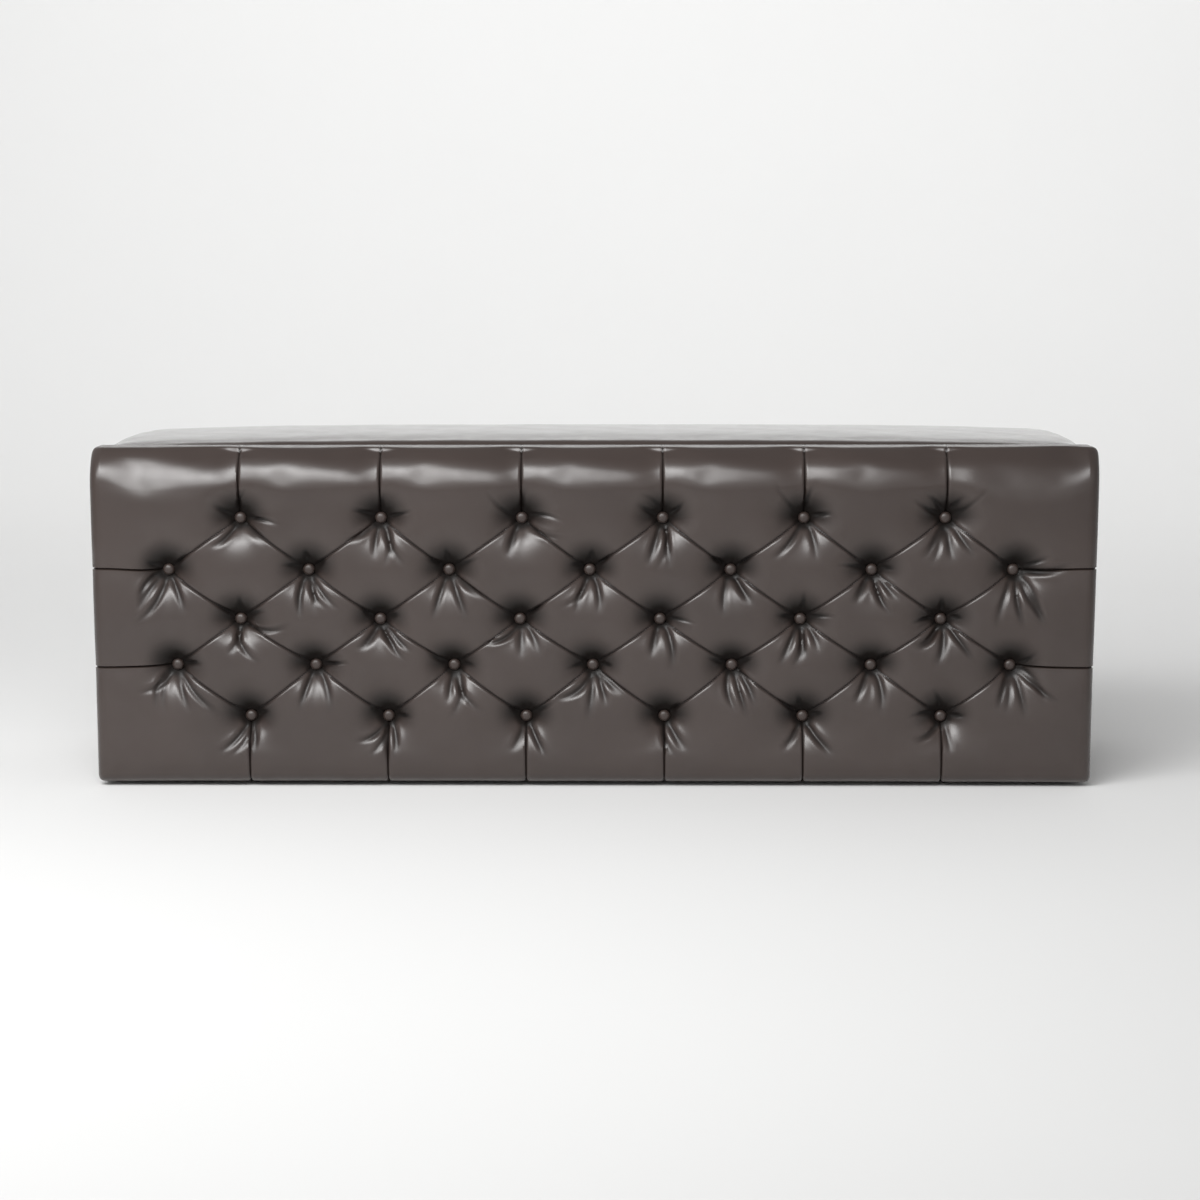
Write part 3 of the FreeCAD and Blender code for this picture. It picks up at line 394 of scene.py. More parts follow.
def settleCloth(points, quads, pins, settings):
    # cloth blown from inside against its pins, gravity off; each point's way is capped by a tanh
    mesh = bpy.data.meshes.new("clothRest")
    mesh.from_pydata(points, [], faceTuples(quads))
    sheet = bpy.data.objects.new("clothRest", mesh)
    bpy.context.scene.collection.objects.link(sheet)
    group = sheet.vertex_groups.new(name="pins")
    levels = np.round(np.clip(pins, 0, 1) * solver["pinLevels"]).astype(int)
    for level in range(1, solver["pinLevels"] + 1):
        group.add(np.flatnonzero(levels == level).tolist(), level / solver["pinLevels"], "REPLACE")
    modifier = sheet.modifiers.new("Cloth", "CLOTH")
    given = modifier.settings
    given.quality = settings["quality"]
    given.mass = solver["mass"]
    given.tension_stiffness = settings["tension"]
    given.compression_stiffness = settings["tension"]
    given.shear_stiffness = settings["shear"]
    given.bending_stiffness = settings["bending"]
    given.vertex_group_mass = "pins"
    given.use_pressure = True
    given.uniform_pressure_force = settings["pressure"]
    given.shrink_min = -settings["slack"]
    given.effector_weights.gravity = 0
    modifier.collision_settings.use_collision = False
    modifier.point_cache.frame_start = 1
    modifier.point_cache.frame_end = settings["frames"]
    for step in range(1, settings["frames"] + 1):
        bpy.context.scene.frame_set(step)
    shown = sheet.evaluated_get(bpy.context.evaluated_depsgraph_get()).to_mesh()
    blown = np.zeros(len(shown.vertices) * 3)
    shown.vertices.foreach_get("co", blown)
    moved = blown.reshape(-1, 3) - points
    way = np.linalg.norm(moved, axis=1, keepdims=True) + solver["leastMove"]
    moved *= settings["cap"] * np.tanh(way / settings["cap"]) / way
    bpy.data.objects.remove(sheet)
    bpy.data.meshes.remove(mesh)
    bpy.context.scene.frame_set(1)
    return moved


def spread(values, rows, columns):
    # bilinear growth of a coarse grid of vectors to every second line of a fine one
    fine = np.zeros((rows, values.shape[1], 3))
    fine[::2] = values
    fine[1::2] = (values[:-1] + values[1:]) / 2
    wide = np.zeros((rows, columns, 3))
    wide[:, ::2] = fine
    wide[:, 1::2] = (fine[:, :-1] + fine[:, 1:]) / 2
    return wide


def blurGrid(field, turns):
    # repeated three-point average along both grid directions
    border = ((1, 1), (1, 1)) + ((0, 0),) * (field.ndim - 2)
    middle = slice(1, -1)
    for turn in range(turns):
        padded = np.pad(field, border, mode="edge")
        field = (padded[:-2, middle] + 2 * padded[middle, middle] + padded[2:, middle]) / 4
        padded = np.pad(field, border, mode="edge")
        field = (padded[middle, :-2] + 2 * padded[middle, middle] + padded[middle, 2:]) / 4
    return field


def settlePad(name, points, hold, settings):
    # the cloth settles on every second grid line, and its moves are averaged and spread to the others
    coarse = points[::2, ::2]
    rows, columns = coarse.shape[:2]
    moved = settleCloth(coarse.reshape(-1, 3), gridQuads(columns, rows), hold[::2, ::2].ravel(), settings)
    moved = blurGrid(moved.reshape(rows, columns, 3), settings["coarseBlur"])
    moved = spread(moved, *points.shape[:2])
    print(name, "cloth settled, largest move", round(float(np.abs(moved).max() / mm), 2), "mm")
    return points + blurGrid(moved, settings["fineBlur"])


# buttoned front

frontLow, frontHigh = nodeBox("front_tufted_cover")
front = {
    "depth": 44.5 * mm, "edgeRadius": 13 * mm, "cornerSquare": 3.2, "sharpAngle": 0.9,
    "rows": 5, "shortRow": 6, "pitchX": 88.75 * mm, "pitchZ": 63.125 * mm, "lowRow": 91.0 * mm,
    "steps": 40, "stepRoom": 0.3, "bends": 8, "straights": 4,  # grid: in a pitch, round and behind an edge
    "faceFade": (0.2, 0.9), "edgeSink": 0.35,                  # how the sinking dies away over the edges
    "flareLeft": 3 * mm, "flareRight": 5 * mm, "flareAlong": (0.6, 1.0), "flareBack": (0.5, 1.0),
}
# row by row from the top: how far its left end, its right end and its height stand off the even lattice
handSetRows = mm * np.array([
    (-4.5, 3.5, 0.5),
    (-8.5, 1.0, -2.5),
    (-6.0, -1.0, -2.5),
    (1.0, -1.0, 1.5),
    (5.5, 0.5, -1.5),
])
handSetFade = (545 * mm, 622 * mm)


def rowCount(row):
    return front["shortRow"] + row % 2


def rowHeight(row):
    # rows stand an even pitch apart above the lowest one
    return front["lowRow"] + (front["rows"] - 1 - row) * front["pitchZ"]


def frontButtons():
    # rows from the top, six and seven buttons in turn, two pitches apart, each one pitch aside of the next
    rows = []
    for row in range(front["rows"]):
        count = rowCount(row)
        x = (np.arange(count) - (count - 1) / 2) * 2 * front["pitchX"]
        rows.append(np.stack([x, np.full(count, rowHeight(row))], 1))
    return rows


def handSet(x, z):
    # moves the even lattice to the rows as they were set by hand: a row's shift runs evenly along it,
    # rows blend into each other, and the shift fades at the ends and the lift at top and bottom
    moveX, moveZ = np.zeros_like(x), np.zeros_like(x)
    for row, (left, right, lift) in enumerate(handSetRows):
        half = (rowCount(row) - 1) * front["pitchX"]
        away = (z - rowHeight(row)) / front["pitchZ"]
        outer = (row == 0) & (away > 0) | (row == front["rows"] - 1) & (away < 0)
        near = np.clip(1 - np.abs(away), 0, 1)
        share = np.where(outer, 1.0, near)
        moveX += share * (left + (right - left) * (x + half) / (2 * half))
        moveZ += share * lift * np.where(outer, near, 1.0)
    fade = 1 - smoothStep(handSetFade, np.abs(x))
    return x + moveX * fade, z + moveZ * fade


pleats = {
    "middle": 3.6 * mm, "loose": 2.6 * mm, "end": 8.0 * mm, "run": 18 * mm, "halfWidth": 1.6 * mm,
    "shoulder": 0.8 * mm, "reach": 9 * mm,
    "outShoulder": {"top": 4.4 * mm, "side": 1.4 * mm}, "outReach": 24 * mm, "outRamp": (20 * mm, 60 * mm),
    "outLength": 300 * mm, "overRoll": (0.1, 0.32),
}


def frontPleats(rows):
    # pleats as pairs of ends: between neighbours of two rows, and from the outer buttons to the edges
    runs = []
    for upper, lower in zip(rows[:-1], rows[1:]):
        for p in upper:
            beside = lower[np.abs(np.abs(lower[:, 0] - p[0]) - front["pitchX"]) < snap]
            runs += [(p, q, "between") for q in beside]
    up, right = np.array([0, pleats["outLength"]]), np.array([pleats["outLength"], 0])
    runs += [(p, p + up, "top") for p in rows[0]]
    runs += [(p, p - up, "floor") for p in rows[-1]]
    for row in rows[1::2]:
        runs += [(row[0], row[0] - right, "side"), (row[-1], row[-1] + right, "side")]
    return runs


def pleatDepth(x, z, runs):
    # each pleat is a sharp V with soft shoulders, and deepens towards the buttons at its ends;
    # those that run out over the top or to a side get wider, fuller shoulders on the way
    total, wide = np.zeros_like(x), np.zeros_like(x)
    for start, end, kind in runs:
        way = end - start
        length = np.hypot(*way)
        way = way / length
        s = (x - start[0]) * way[0] + (z - start[1]) * way[1]
        side = np.array([-way[1], way[0]])
        t = (x - start[0]) * side[0] + (z - start[1]) * side[1]
        between = kind == "between"
        fromEnd = np.maximum(np.minimum(s, length - s) if between else s, 0)
        deep = pleats["middle" if between else "loose"]
        deep = deep + (pleats["end"] - deep) * np.exp(-fromEnd / pleats["run"])
        inside = (s > -snap) & (s < length + snap)
        valley = deep * np.clip(1 - np.abs(t) / pleats["halfWidth"], 0, 1)
        soft, reach = pleats["shoulder"], pleats["reach"]
        if kind in pleats["outShoulder"]:
            full = pleats["outShoulder"][kind]
            soft = soft + (full - soft) * smoothStep(pleats["outRamp"], s)
            reach = pleats["outReach"]
        slope = soft * np.exp(-(t / reach) ** 2)
        total = np.maximum(total, np.where(inside, valley + slope, 0))
        wide = np.maximum(wide, np.where(inside, slope, 0))
    return total, wide


dimple = {"depth": 22 * mm, "seat": 7 * mm, "reach": 54 * mm, "power": 2.4, "pleatLess": 0.7}


def dimpleDepth(x, z, rows):
    # a pulled hollow round each button: flat seat, then a rise to the pad's face by a power of what is left
    nearest = np.min([np.hypot(x - p[0], z - p[1]) for p in np.concatenate(rows)], 0)
    share = np.clip((nearest - dimple["seat"]) / (dimple["reach"] - dimple["seat"]), 0, 1)
    return dimple["depth"] * (1 - share) ** dimple["power"]


# fans of creases: angles in radians from straight down, positive to the right
fan = {
    "seed": 11, "deepen": 1.15, "blur": 1, "reach": 95 * mm, "bend": 6.0, "lowRowNarrow": 0.6,
    "start": (9 * mm, 18 * mm), "fade": (0.45, 1.0), "width": 1.3 * mm, "widen": 1.6 * mm,
    "valley": 1.5, "ridge": 1.1, "turnMost": 1.5,
}
below = {
    "count": (2, 5), "fullCount": (4, 6), "middle": 0.08, "span": (-0.55, 0.6), "uneven": 0.12,
    "length": (50, 74), "longer": 1.2, "depth": (2.4, 4.0), "broad": (1.25, 2.0),
    "endSpan": (-0.5, 1.3), "endUneven": 0.06,
}
above = {
    "count": (1, 4), "fullCount": (3, 5), "middle": math.pi, "span": (-1.2, 1.2), "uneven": 0.15,
    "length": (28, 50), "longer": 1.3, "depth": (1.8, 3.4), "broad": (0.7, 1.0),
}


def drawFolds(rng, kind, full, end=0):
    # angle, length, depth and breadth of each fold; full fans have more and longer ones
    count = int(rng.integers(*kind["fullCount" if full else "count"]))
    angles = kind["middle"] + np.linspace(*kind["span"], count) + rng.normal(0, kind["uneven"], count)
    if end:
        angles = end * (np.linspace(*kind["endSpan"], count) + rng.normal(0, kind["endUneven"], count))
    lengths = rng.uniform(*kind["length"], count) * mm * (kind["longer"] if full else 1)
    depths = rng.uniform(*kind["depth"], count) * mm
    return np.stack([angles, lengths, depths, rng.uniform(*kind["broad"], count)])


def drawFan(rng, row, end):
    # folds of one button: long ones hang below it, more of them beside the pleats at a row's ends
    # (end is -1 or 1 there), and short ones stand above it
    hanging = drawFolds(rng, below, end != 0, end)
    if row == front["rows"] - 1:
        hanging[0] *= fan["lowRowNarrow"]
    folds = np.concatenate([hanging, drawFolds(rng, above, row == 0)], 1)
    bends = rng.normal(0, fan["bend"], folds.shape[1])
    return zip(*folds, bends)


def fanCreases(x, z, rows):
    # creases that radiate from each button: narrow valleys with raised sides, each bent a little, that widen
    # outwards and fade at both ends
    rng = np.random.default_rng(fan["seed"])
    total = np.zeros_like(x)
    for rowIndex, row in enumerate(rows):
        for place, p in enumerate(row):
            end = (place == len(row) - 1) - (place == 0) if rowIndex % 2 else 0
            folds = drawFan(rng, rowIndex, end)
            r = np.hypot(x - p[0], z - p[1])
            near = r < fan["reach"]
            r, theta = r[near], np.arctan2(x[near] - p[0], -(z[near] - p[1]))
            creases = np.zeros_like(r)
            for angle, length, deep, breadth, bend in folds:
                off = np.angle(np.exp(1j * (theta - angle - bend * r)))
                t = r * np.sin(np.clip(off, -fan["turnMost"], fan["turnMost"]))
                wide = breadth * (fan["width"] + fan["widen"] * r / length)
                fade = smoothStep(fan["start"], r) * (1 - smoothStep(fan["fade"], r, scale=length))
                across = (t / (fan["valley"] * wide)) ** 2
                hat = (1 - fan["ridge"] * across) * np.exp(-across)
                creases += np.where(np.cos(off) > 0, deep * hat * fade, 0)
            total[near] += creases
    return total


# painted shade: how strongly the hollows' upper sides, the pleat lines and the creases are darkened, and
# where
paintedFoldShade = {
    "upper": 0.96, "lines": 0.95, "creases": 0.7, "openBelow": (-0.25, 0.65), "openFrom": (10 * mm, 18 * mm),
    "hollow": (14 * mm, 44 * mm), "lineDepth": (1.0 * mm, 3.2 * mm), "creaseDepth": 2.4 * mm,
}


def foldShade(x, z, rows, loose, pleat, crease):
    # mask of painted shade: 1 in the creases and on the overhung upper side of each hollow, 0 where the cover
    # lies open
    upper = np.zeros_like(x)
    for p in np.concatenate(rows):
        r = np.hypot(x - p[0], z - p[1]) + tiny
        down = (p[1] - z) / r
        covered = 1 - smoothStep(paintedFoldShade["openBelow"], down) * smoothStep(paintedFoldShade["openFrom"], r)
        upper = np.maximum(upper, covered * (1 - smoothStep(paintedFoldShade["hollow"], r)))
    lines = smoothStep(paintedFoldShade["lineDepth"], pleat - loose)
    inCrease = np.clip(crease / paintedFoldShade["creaseDepth"], 0, 1)
    total = paintedFoldShade["upper"] * upper + paintedFoldShade["lines"] * lines + paintedFoldShade["creases"] * inCrease
    return np.clip(total, 0, 1)


topCells = {
    "bend": 12.3, "start": 45 * mm, "smile": 8 * mm, "aside": -0.4, "slant": 15 * mm, "slantRise": 1.5,
    "slantFall": 6, "puff": 5 * mm, "puffSpan": (-85 * mm, -25 * mm),
    "crest": 30 * mm, "drop": 1.6 * mm, "dropSpan": (-30 * mm, -6 * mm),
}


def topShape(x, z, top):
    # below the top roll the pad's face leans back by a square law, from lower down in the middle of each
    # top cell; over the roll the lean dies away evenly, so that the face turns one way all along;
    # between two pleats the cell swells by a parabola across it, and starts to lean lower to the right
    radius = front["edgeRadius"]
    across = (x / front["pitchX"] + 1) % 2 - 1         # -1 at a cell's left pleat and 1 at its right one
    cell = np.cos(math.pi * (across - topCells["aside"] * (1 - across ** 2)))
    start = topCells["start"] + topCells["smile"] * (0.5 + 0.5 * cell)
    share = (across + 1) / 2
    slant = topCells["slant"] * share ** topCells["slantRise"] * (1 - share ** topCells["slantFall"])
    straight = start + slant - radius
    arc = radius * math.pi / 2
    rise = np.clip(z - (top - start - slant), 0, straight)
    over = np.clip(z - (top - radius), 0, arc)
    lean = rise ** 2 + 2 * straight * (over - over ** 2 / (2 * arc))
    lean = topCells["bend"] * lean * (topCells["start"] / start) ** 2
    lift = smoothStep(topCells["puffSpan"], z, top)
    inner = np.abs(x) < (front["shortRow"] - 1) * front["pitchX"]
    return lean - topCells["puff"] * (1 - across ** 2) * lift * inner


def topDrop(y):
    # the pad's top rises evenly from its front crest to the pad's back
    behind = (y - frontLow[1] - topCells["crest"]) / (front["depth"] - topCells["crest"])
    return topCells["drop"] * (1 - np.clip(behind, 0, 1))


frontCloth = {
    "quality": 4, "tension": 15.0, "shear": 6.0, "bending": 3.0, "pressure": 3.0, "slack": 0.002,
    "frames": 14, "cap": 3.4 * mm, "coarseBlur": 4, "fineBlur": 0,
}
pinned = {
    "dimpleGain": 1.6, "dimpleLess": 0.25, "pleatFrom": 2.4 * mm, "pleatRun": 2.0 * mm, "pleatMost": 0.9,
    "edge": (0.3, 0.6),
}


def frontPins(pull, pleat, back):
    # the cloth is held in the dimples, along the pleats and behind the edges
    hold = np.clip(pull / dimple["depth"] * pinned["dimpleGain"] - pinned["dimpleLess"], 0, 1)
    inPleat = (pleat - pinned["pleatFrom"]) / pinned["pleatRun"]
    hold = np.maximum(hold, np.clip(inPleat, 0, pinned["pleatMost"]))
    return np.maximum(hold, smoothStep(pinned["edge"], back, scale=front["depth"]))


def frontGrid(half, low, top):
    # flat grid lines: even steps that pass through every button, and finer ones round the four edges
    radius = front["edgeRadius"]
    stepX, stepZ = front["pitchX"] / front["steps"], front["pitchZ"] / front["steps"]
    past = edgeSteps(radius, front["depth"], front["bends"], front["straights"])
    countX = int((half - radius) / stepX - front["stepRoom"])
    inner = np.arange(-countX, countX + 1) * stepX
    a = np.concatenate([-(half - radius) - past[::-1], inner, half - radius + past])
    first = int((front["lowRow"] - low - radius) / stepZ - front["stepRoom"])
    last = int((top - radius - front["lowRow"]) / stepZ - front["stepRoom"])
    last -= (first + last) % 2
    inner = front["lowRow"] + np.arange(-first, last + 1) * stepZ
    b = np.concatenate([low + radius - past[::-1], inner, top - radius + past])
    return np.meshgrid(a, b)


def buildFront():
    # the wrapped panel leans back at the top, sinks into dimples and pleats, is blown out as cloth, and then
    # takes its creases, the drop of its crest and the flare of its upper corners
    half, low, top = frontHigh[0], frontLow[2], frontHigh[2]
    depth = front["depth"]
    flatX, flatZ = frontGrid(half, low, top)
    x, z, back, normal = wrapEdges(flatX, flatZ, half, low, top, front["edgeRadius"], front["cornerSquare"])
    outward = np.stack([normal[..., 0], -normal[..., 2], normal[..., 1]], -1)
    rows = frontButtons()
    pull = dimpleDepth(flatX, flatZ, rows)
    pleat, loose = pleatDepth(flatX, flatZ, frontPleats(rows))
    onFace = 1 - smoothStep(front["faceFade"], back, scale=depth)
    seam = pleat - loose * smoothStep(pleats["overRoll"], back, scale=depth)
    sink = pull + seam * (1 - dimple["pleatLess"] * pull / dimple["depth"])
    sink = sink * (front["edgeSink"] + (1 - front["edgeSink"]) * onFace)
    lean = topShape(flatX, flatZ, top) * (1 - back / depth)
    setX, setZ = handSet(flatX, flatZ)
    base = np.stack([x + setX - flatX, frontLow[1] + back + lean, z + setZ - flatZ], -1)
    points = base - outward * sink[..., None]
    points = settlePad("frontTuftedPad", points, frontPins(pull, pleat, back), frontCloth)
    crease = blurGrid(fan["deepen"] * fanCreases(flatX, flatZ, rows), fan["blur"])
    points = points - outward * (crease * onFace)[..., None]
    points[..., 1] = np.minimum(points[..., 1], frontLow[1] + depth)
    nearTop = smoothStep(topCells["dropSpan"], points[..., 2], top)
    points[..., 2] -= topDrop(points[..., 1]) * nearTop
    flare = np.where(flatX > 0, front["flareRight"], -front["flareLeft"])
    flare = flare * smoothStep(front["flareAlong"], np.abs(points[..., 0]) / half)
    flare = flare * (1 - smoothStep(front["flareBack"], back, scale=depth))
    points[..., 0] += flare * smoothStep((low, top), points[..., 2])
    piece = coverPiece("frontTuftedPad", "base", points, frontVinyl, 0.8, "front_tufted_cover", "front_foam")
    # painted shade: the mask is kept on the pad for its material to darken
    shade = foldShade(flatX, flatZ, rows, loose, pleat, crease)
    layer = piece.data.attributes.new("paintedShade", "FLOAT", "POINT")
    layer.data.foreach_set("value", shade.astype(np.float32).ravel())
    piece.data.set_sharp_from_angle(angle=front["sharpAngle"])
    return rows


buttonRows = buildFront()
print("front built")


button = {
    "radius": 7.5 * mm, "dome": 5.2 * mm, "round": 0.8, "rim": 0.82, "tuck": 0.12, "rings": 9, "sides": 24,
}


def buildButtons(rows):
    # covered dome: radius falls as a power of a quarter circle's cosine, with a rim tucked in to a flat back
    sides, dome = button["sides"], button["dome"]
    turn = np.linspace(0, 2 * math.pi, sides, endpoint=False)
    arc = np.linspace(0, math.pi / 2, button["rings"])
    radius = np.concatenate([[button["rim"]], np.cos(arc[:-1]) ** button["round"]])
    rise = np.concatenate([[-button["tuck"]], np.sin(arc[:-1])])
    ringX = button["radius"] * radius[:, None] * np.cos(turn)
    ringZ = button["radius"] * radius[:, None] * np.sin(turn)
    ringY = -dome * rise[:, None] + 0 * turn
    one = np.stack([ringX, ringY, ringZ], -1).reshape(-1, 3)
    one = np.concatenate([one, [[0, -dome, 0], [0, button["tuck"] * dome, 0]]])
    count = len(one)
    step = np.arange(sides)
    after = (step + 1) % sides
    band = np.stack([step, after, sides + after, sides + step], 1)
    quads = np.concatenate([band + k * sides for k in range(len(radius) - 1)])
    last = (len(radius) - 1) * sides
    caps = np.concatenate([np.stack([last + step, last + after, np.full(sides, count - 2)], 1),
                           np.stack([after, step, np.full(sides, count - 1)], 1)])
    spots = np.concatenate(rows)
    spotX, spotZ = handSet(spots[:, 0], spots[:, 1])
    seat = nodeBox("tuft_buttons")[1][1]
    seats = np.stack([spotX, np.full(len(spots), seat), spotZ], 1)
    points = (seats[:, None] + one[None]).reshape(-1, 3)
    starts = np.arange(len(spots))[:, None, None] * count
    allQuads = (starts + quads[None]).reshape(-1, 4)
    allCaps = (starts + caps[None]).reshape(-1, 3)
    faces = faceTuples(allQuads) + faceTuples(allCaps)
    piece = makePiece("coveredButtons", points, faces, buttonVinyl, "base")
    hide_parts("tuft_buttons")


buildButtons(buttonRows)


# plain padded panels: lid, ends, back and the fold of cover over the front board's top

panel = {"bends": 6, "straights": 4, "held": (0.35, 0.8)}
softCloth = {
    "quality": 4, "tension": 15.0, "shear": 6.0, "bending": 0.6, "pressure": 3.0, "slack": 0.004,
    "frames": 14, "cap": 4 * mm, "coarseBlur": 0, "fineBlur": 3,
}
endCloth = dict(softCloth, pressure=1.5, cap=2 * mm, frames=10)
lidCloth = dict(softCloth, cap=1.8 * mm)
levelAxes = ((1, 0, 0), (0, 1, 0), (0, 0, 1))


def panelLines(low, high, pad, past):
    # grid lines of one direction: round the low edge, evenly over the face, round the high edge
    radius = pad["radius"]
    count = 2 * int((high - low - 2 * radius) / 2 / pad["steps"]) + 1
    face = np.linspace(low + radius, high - radius, count)
    return np.concatenate([low + radius - past[::-1][:-1], face, high - radius + past[1:]])


def paddedPanel(name, axes, origin, half, low, high, shape, pad, settings=None):
    # flat panel with rounded edges, raised by shape(a, b), which dies away to its back;
    # axes are the directions across, up and outwards
    across, up, out = np.array(axes, float)
    radius, depth = pad["radius"], pad["depth"]
    past = edgeSteps(radius, depth, panel["bends"], panel["straights"])
    flatA, flatB = np.meshgrid(panelLines(-half, half, pad, past), panelLines(low, high, pad, past))
    atA, atB, back, normal = wrapEdges(flatA, flatB, half, low, high, radius)
    rise = shape(flatA, flatB) * (1 - back / depth)
    points = np.array(origin) + atA[..., None] * across + atB[..., None] * up
    points = points + (rise - back)[..., None] * out
    if settings:
        hold = smoothStep(panel["held"], back, scale=depth)
        points = settlePad(name, points, hold, settings)
    return points


hingeSides = ("left", "middle", "right")
hingeSpots = [sum(corner[0] for corner in nodeBox(f"hinge_{side}_pin")) / 2 for side in hingeSides]
hingeRoom = (38 * mm, 44 * mm)


def hingeWindow(x):
    # 1 beside each hinge and 0 between them
    away = np.abs(x[..., None] - hingeSpots).min(-1)
    return 1 - smoothStep(hingeRoom, away)


lidLow, lidHigh = nodeBox("lid_cover")
lid = {
    "radius": 13 * mm, "steps": 5 * mm, "depth": lidHigh[2] - lidLow[2] - 0.6 * mm,
    "endDrop": 8.5 * mm, "endPower": 3.2, "crown": 4.0 * mm, "crownPower": 2.2, "startBelow": 1.5 * mm,
    "uneven": 0.25 * mm,
    "waves": {"along": 41, "bend": (1.7, 19), "across": 47, "start": 1.1, "sway": (0.9, 13)},
    "notch": 8 * mm, "notchHeight": (7 * mm, 12 * mm), "notchRear": (-9 * mm, -2 * mm), "proud": 0.3 * mm,
}


def buildLid():
    # crowned pad, notched low at the rear for the hinges
    halfX, halfY = lidHigh[0], (lidHigh[1] - lidLow[1]) / 2
    origin = (0, (lidLow[1] + lidHigh[1]) / 2, lidHigh[2])

    def crown(a, b):
        # falls towards the ends by a steep power of the length and towards front and back by a gentle one
        ends = lid["endDrop"] * np.clip(np.abs(a) / halfX, 0, 1) ** lid["endPower"]
        edges = lid["crown"] * np.clip(np.abs(b) / halfY, 0, 1) ** lid["crownPower"]
        uneven = lid["uneven"] * slowWaves(a, b, lid["waves"])
        return uneven - ends - edges - lid["startBelow"] * (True)

    points = paddedPanel("lidPad", levelAxes, origin, halfX, -halfY, halfY, crown, lid, lidCloth)
    low = 1 - smoothStep(lid["notchHeight"], points[..., 2], lidLow[2])
    rear = smoothStep(lid["notchRear"], points[..., 1], lidHigh[1])
    points[..., 1] -= lid["notch"] * hingeWindow(points[..., 0]) * low * rear
    points[..., 1] = np.clip(points[..., 1], lidLow[1] - lid["proud"], lidHigh[1])
    coverPiece("lidPad", "lid", points, lidVinyl, 0.7, "lid_cover", "lid_foam")


buildLid()

endPad = {"depth": 11.4 * mm, "radius": 7 * mm, "steps": 6 * mm, "swell": 1.5 * mm, "swellHalf": 190 * mm}


def buildEnd(side, name, node, foam):
    # panel that looks along the bench, to the right where side is 1 and to the left where it is -1
    low, high = nodeBox(node)
    middle, half = (low[1] + high[1]) / 2, (high[1] - low[1]) / 2
    middleZ = (low[2] + high[2]) / 2
    face = high[0] if side > 0 else low[0]

    def crown(a, b):
        # shallow swell by fourth powers, zero at the panel's edges
        swell = (1 - (a / half) ** 4) * (1 - ((b - middleZ) / endPad["swellHalf"]) ** 4)
        return endPad["swell"] * swell - endPad["swell"]

    axes = ((0, side, 0), (0, 0, 1), (side, 0, 0))
    points = paddedPanel(name, axes, (face, middle, 0), half, low[2], high[2], crown, endPad, endCloth)
    coverPiece(name, "base", points, plainVinyl, 0.7, node, foam)


buildEnd(1, "endPadRight", "right_end_cover", "right_end_foam")
buildEnd(-1, "endPadLeft", "left_end_cover", "left_end_foam")

backPad = {
    "depth": 7.6 * mm, "radius": 4.5 * mm, "steps": 6 * mm, "startBelow": 1.0 * mm,
    "notch": 7.5 * mm, "notchHeight": (-9 * mm, -5 * mm), "notchFloor": 0.2 * mm,
}


def buildBack():
    # flat panel, notched at its top for the hinges
    low, high = nodeBox("back_cover")

    def flat(a, b):
        # starts a little low, so that the cloth has room to swell
        return np.full_like(a, -backPad["startBelow"])

    axes = ((-1, 0, 0), (0, 0, 1), (0, 1, 0))
    points = paddedPanel("backPad", axes, (0, high[1], 0), high[0], low[2], high[2], flat, backPad, endCloth)
    upper = smoothStep(backPad["notchHeight"], points[..., 2], high[2])
    notched = points[..., 1] - backPad["notch"] * hingeWindow(points[..., 0]) * upper
    points[..., 1] = np.maximum(notched, low[1] + backPad["notchFloor"])
    coverPiece("backPad", "base", points, plainVinyl, 0.7, "back_cover", "back_foam")


buildBack()

topFold = {"radius": 5 * mm, "steps": 6 * mm, "endInset": 1 * mm, "below": 0.4 * mm, "behind": 0.4 * mm,
           "aboveRim": 0.3 * mm}


def buildTopFold():
    # the front cover goes on over the board's top and down behind it
    crest, rear = frontLow[1] + topCells["crest"], frontHigh[1] + topFold["behind"]
    middle, half = (crest + rear) / 2, (rear - crest) / 2
    top = frontHigh[2] - topFold["below"]
    pad = dict(topFold, depth=top - nodeBox("back_board")[1][2] - topFold["aboveRim"])

    def crown(a, b):
        # goes on from the drop of the front's own top
        return -topDrop(middle + b)

    halfX = frontHigh[0] - topFold["endInset"]
    points = paddedPanel("frontTopFold", levelAxes, (0, middle, top), halfX, -half, half, crown, pad)
    coverPiece("frontTopFold", "base", points, lidVinyl, 0.9)


buildTopFold()
print("covers built")


# linings

flatCloth = {
    "columns": 121, "rows": 41, "thick": 0.6 * mm, "dustRipple": 0.05 * mm, "linerRipple": 0.08 * mm,
    "waves": {"along": 23, "bend": (1.3, 17), "across": 31, "start": 0.8, "sway": (0, 0)},
}


def clothSlab(x, y, z, thick, ripple, columns, rows):
    # flat cloth as a closed slab: top and bottom grids joined by their rims, with a slow ripple
    gridX, gridY = np.meshgrid(np.linspace(*x, columns), np.linspace(*y, rows))
    wave = ripple * slowWaves(gridX, gridY, flatCloth["waves"])
    upper = np.stack([gridX, gridY, z + thick / 2 + wave], -1).reshape(-1, 3)
    lower = np.stack([gridX, gridY, z - thick / 2 + wave], -1).reshape(-1, 3)
    count = len(upper)
    quads = gridQuads(columns, rows)
    loop = borderLoop(columns, rows)
    after = np.roll(loop, -1)
    rim = np.stack([loop + count, after + count, after, loop], 1)
    return np.concatenate([upper, lower]), np.concatenate([quads, (quads + count)[:, ::-1], rim])


